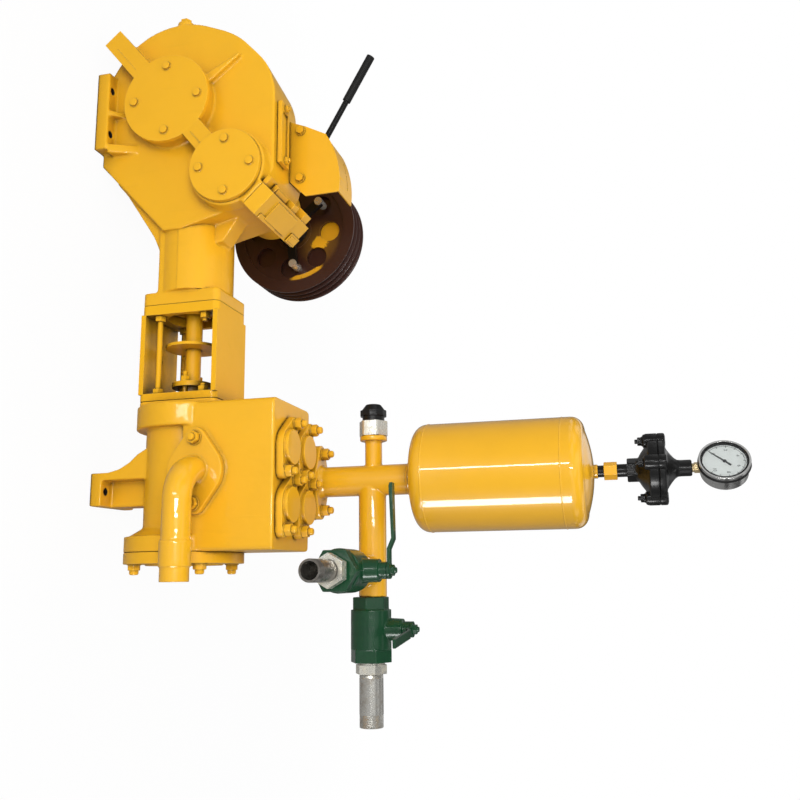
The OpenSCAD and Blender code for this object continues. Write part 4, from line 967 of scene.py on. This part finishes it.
# Adds a flat bar between two points on the dial, tapering from one width to the other
def addBar(grid, start, end, startWidth, endWidth, low, high):
    along = (Vector(end) - Vector(start)).normalized()
    cross = Vector((-along.y, along.x))
    corners = [Vector(start) + cross * startWidth / 2, Vector(start) - cross * startWidth / 2,
               Vector(end) - cross * endWidth / 2, Vector(end) + cross * endWidth / 2]
    lower = [grid.verts.new((c.x * mm, c.y * mm, low * mm)) for c in corners]
    upper = [grid.verts.new((c.x * mm, c.y * mm, high * mm)) for c in corners]
    grid.faces.new(list(reversed(lower)))
    grid.faces.new(upper)
    for index in range(4):
        after = (index + 1) % 4
        grid.faces.new((lower[index], lower[after], upper[after], upper[index]))


def heading(angle):
    return Vector((math.cos(angle), math.sin(angle)))


# The angle on the dial at a share of its sweep
def dialAngle(share):
    return math.radians(gaugeValues["firstAngle"] - gaugeValues["sweep"] * share)


say("gauge")
face, divisions, arcSteps = gaugeValues["face"], gaugeValues["divisions"], gaugeValues["arcSteps"]
tickInner, tickWidth = gaugeValues["tickInner"], gaugeValues["tickWidth"]
inkLow, inkHigh = face - 0.02, face + 0.08
grid = bmesh.new()
for division in range(divisions + 1):
    way = heading(dialAngle(division / divisions))
    start, width = (gaugeValues["longInner"], gaugeValues["longWidth"]) if division % 5 == 0 else (tickInner, tickWidth)
    addBar(grid, way * start, way * gaugeValues["tickOuter"], width, width, inkLow, inkHigh)
for step in range(arcSteps):
    start, end = [heading(dialAngle((step + more) / arcSteps)) * tickInner for more in (0, 1)]
    addBar(grid, start, end, tickWidth, tickWidth, inkLow, inkHigh)
for number, label in enumerate(gaugeValues["labels"]):
    textData = bpy.data.curves.new("label", "FONT")
    textData.body = label
    textData.size = gaugeValues["labelSize"] * mm
    textData.align_x, textData.align_y = "CENTER", "CENTER"
    textData.extrude = 0.05 * mm
    textHolder = bpy.data.objects.new("label", textData)
    scene.collection.objects.link(textHolder)
    bpy.context.view_layer.update()
    labelMesh = bpy.data.meshes.new_from_object(textHolder.evaluated_get(bpy.context.evaluated_depsgraph_get()))
    way = heading(dialAngle(number / (len(gaugeValues["labels"]) - 1))) * gaugeValues["numbers"] * mm
    labelMesh.transform(Matrix.Translation((way.x, way.y, (face + 0.03) * mm)))
    grid.from_mesh(labelMesh)
    bpy.data.objects.remove(textHolder)
markMesh = finishGrid(grid, "gauge_marks")
markMesh.materials.clear()
markMesh.transform(gaugeMatrix)
addPiece("gauge_marks", markMesh, ["gauge_needle"], "needle_black")

grid = bmesh.new()
way = heading(math.radians(gaugeValues["firstAngle"] + 1.0))
addBar(grid, way * -1.0, way * gaugeValues["needle"], 3.2, 1.4, face + 0.5, face + 1.0)
addBar(grid, way * 1.0, way * -gaugeValues["tail"], 2.8, 4.0, face + 0.5, face + 1.0)
loft(grid, inMm([(radius, face + height) for radius, height in gaugeValues["hub"]]), Matrix.Identity(4), 24)
needleMesh = finishGrid(grid, "gauge_needle_mesh")
needleMesh.transform(gaugeMatrix)
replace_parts(addPiece("needle", needleMesh, ["gauge_needle"]), "gauge_needle")

gasketMesh, shadowRingMesh = [turned("gauge_" + key, inMm(gaugeValues[key]), 72) for key in ("gasket", "lip")]
gasketMesh.transform(gaugeMatrix)
addPiece("gauge_gasket", gasketMesh, ["gauge_needle"], "black_grip", smooth=35.0)
# a black ring at the bezel's back edge: painted shade
shadowRingMesh.transform(gaugeMatrix)
for vertex in shadowRingMesh.vertices:
    # the top of the lip stays within the object's height
    vertex.co.z = min(vertex.co.z, boundsAtLoad[1][2])
addPiece("gauge_lip", shadowRingMesh, ["gauge_case"], "black_grip", smooth=35.0)


# Camera, floor and light

cameraValues = {
    "position": (0.939, -1.590, 1.031), "lens": 40.63, "sensor": 36.0,
    "right": (0.0113, 0.2601, 0.9655), "up": (-0.9813, -0.1824, 0.0607),
}
cameraData = bpy.data.cameras.new("photo_camera")
cameraData.lens = cameraValues["lens"]
cameraData.sensor_width = cameraValues["sensor"]
cameraRight = Vector(cameraValues["right"]).normalized()
cameraBack = cameraRight.cross(Vector(cameraValues["up"])).normalized()
cameraUp = cameraBack.cross(cameraRight)
camera = bpy.data.objects.new("photo_camera", cameraData)
camera.matrix_world = (Matrix.Translation(Vector(cameraValues["position"]))
                       @ Matrix((cameraRight, cameraUp, cameraBack)).transposed().to_4x4())
scene.collection.objects.link(camera)
scene.camera = camera

floorValues = {
    "half": 40.0, "white": (0.90, 0.90, 0.90), "speckle": (0.88, 0.88, 0.88), "bounce": (0.40, 0.40, 0.40),
    "veil": 0.95, "near": 0.9, "far": 2.2, "centre": (0.6, 0.0, -0.0008),
}
s = newShader("pale_floor")
floorPlace = s.place()
away = s.make("VectorMath", {"operation": "LENGTH"}, {0: floorPlace}, "Value").step(
    floorValues["near"], floorValues["far"])
speckle = s.noise(floorPlace, 3.0, 3.0)
seen = s.make("LightPath", output="Is Camera Ray")
floorTone = s.blend(speckle * 0.2, colour(*floorValues["white"]), colour(*floorValues["speckle"]))
floorTone = s.blend(seen, colour(*floorValues["bounce"]), floorTone)  # it throws back less light than it shows
matte = s.make("BsdfPrincipled", {}, {"Base Color": floorTone, "Roughness": 0.9, "Specular IOR Level": 0.1})
glow = s.make("Emission", {}, {"Color": colour(1, 1, 1), "Strength": 1.0})
floorLook = s.surface(s.make("MixShader", {}, {
    0: seen * (floorValues["veil"] + away * (1.0 - floorValues["veil"])), 1: matte, 2: glow}))
half = floorValues["half"]
floorMesh = bpy.data.meshes.new("floor")
floorMesh.from_pydata([(-half, -half, 0), (half, -half, 0), (half, half, 0), (-half, half, 0)], [], [(0, 1, 2, 3)])
floorMesh.materials.append(floorLook)
floor = bpy.data.objects.new("floor", floorMesh)
floor.location = floorValues["centre"]
scene.collection.objects.link(floor)
floor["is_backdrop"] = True

worldValues = {"ambient": 0.60, "shineLow": 0.05, "shineHigh": 0.80}
world = bpy.data.worlds.new("studio")
scene.world = world
w = Shader(world)
direction = w.make("TexCoord", output="Generated")
patches = w.noise(direction, 2.2, 1.0).step(0.46, 0.60)  # light and dark parts of the room
shine = worldValues["shineLow"] + patches * (worldValues["shineHigh"] - worldValues["shineLow"])
straight = w.make("LightPath", output="Is Camera Ray")
glossy = w.make("LightPath", output="Is Glossy Ray")
level = glossy * shine + (1.0 - glossy) * worldValues["ambient"]
strength = straight + (1.0 - straight) * level
w.surface(w.make("Background", {}, {"Color": colour(1, 1, 1), "Strength": strength}), "OutputWorld")

lightValues = {
    "wide_strip": {"at": (2.93, -1.10, 0.45), "aim": (0.75, 0.10, 0.45), "size": (0.62, 1.2), "power": 44.0},
    "thin_strip": {"at": (0.20, -2.36, 0.45), "aim": (0.75, 0.10, 0.45), "size": (0.13, 1.2), "power": 11.0},
    "key": {"at": (0.50, -3.10, 1.80), "aim": (0.55, 0.0, 0.40), "size": (1.6, 1.2), "power": 71.0},
    "pane_strip": {"at": (0.58, -3.00, 1.75), "aim": (0.865, -0.165, 0.26), "size": (0.12, 1.3), "power": 20.0},
    "top": {"at": (0.60, -0.60, 3.20), "aim": (0.60, 0.0, 0.20), "size": (2.4, 2.0), "power": 10.0},
}
for name, values in lightValues.items():
    lightData = bpy.data.lights.new(name, "AREA")
    lightData.shape = "RECTANGLE"
    lightData.size, lightData.size_y = values["size"]
    lightData.energy = values["power"]
    light = bpy.data.objects.new(name, lightData)
    toLight = (Vector(values["at"]) - Vector(values["aim"])).normalized()
    side = Vector((0, 0, 1)).cross(toLight).normalized()
    rise = toLight.cross(side)
    light.matrix_world = (Matrix.Translation(Vector(values["at"]))
                          @ Matrix((side, rise, toLight)).transposed().to_4x4())
    scene.collection.objects.link(light)
    light.visible_camera = False
    # the strips show as reflections alone, the others light alone
    light.visible_glossy = "strip" in name
    light.visible_diffuse = "strip" not in name

scene.view_settings.view_transform = "Standard"

say("triangles %d" % sum(len(face.vertices) - 2 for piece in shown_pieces() for face in piece.data.polygons))
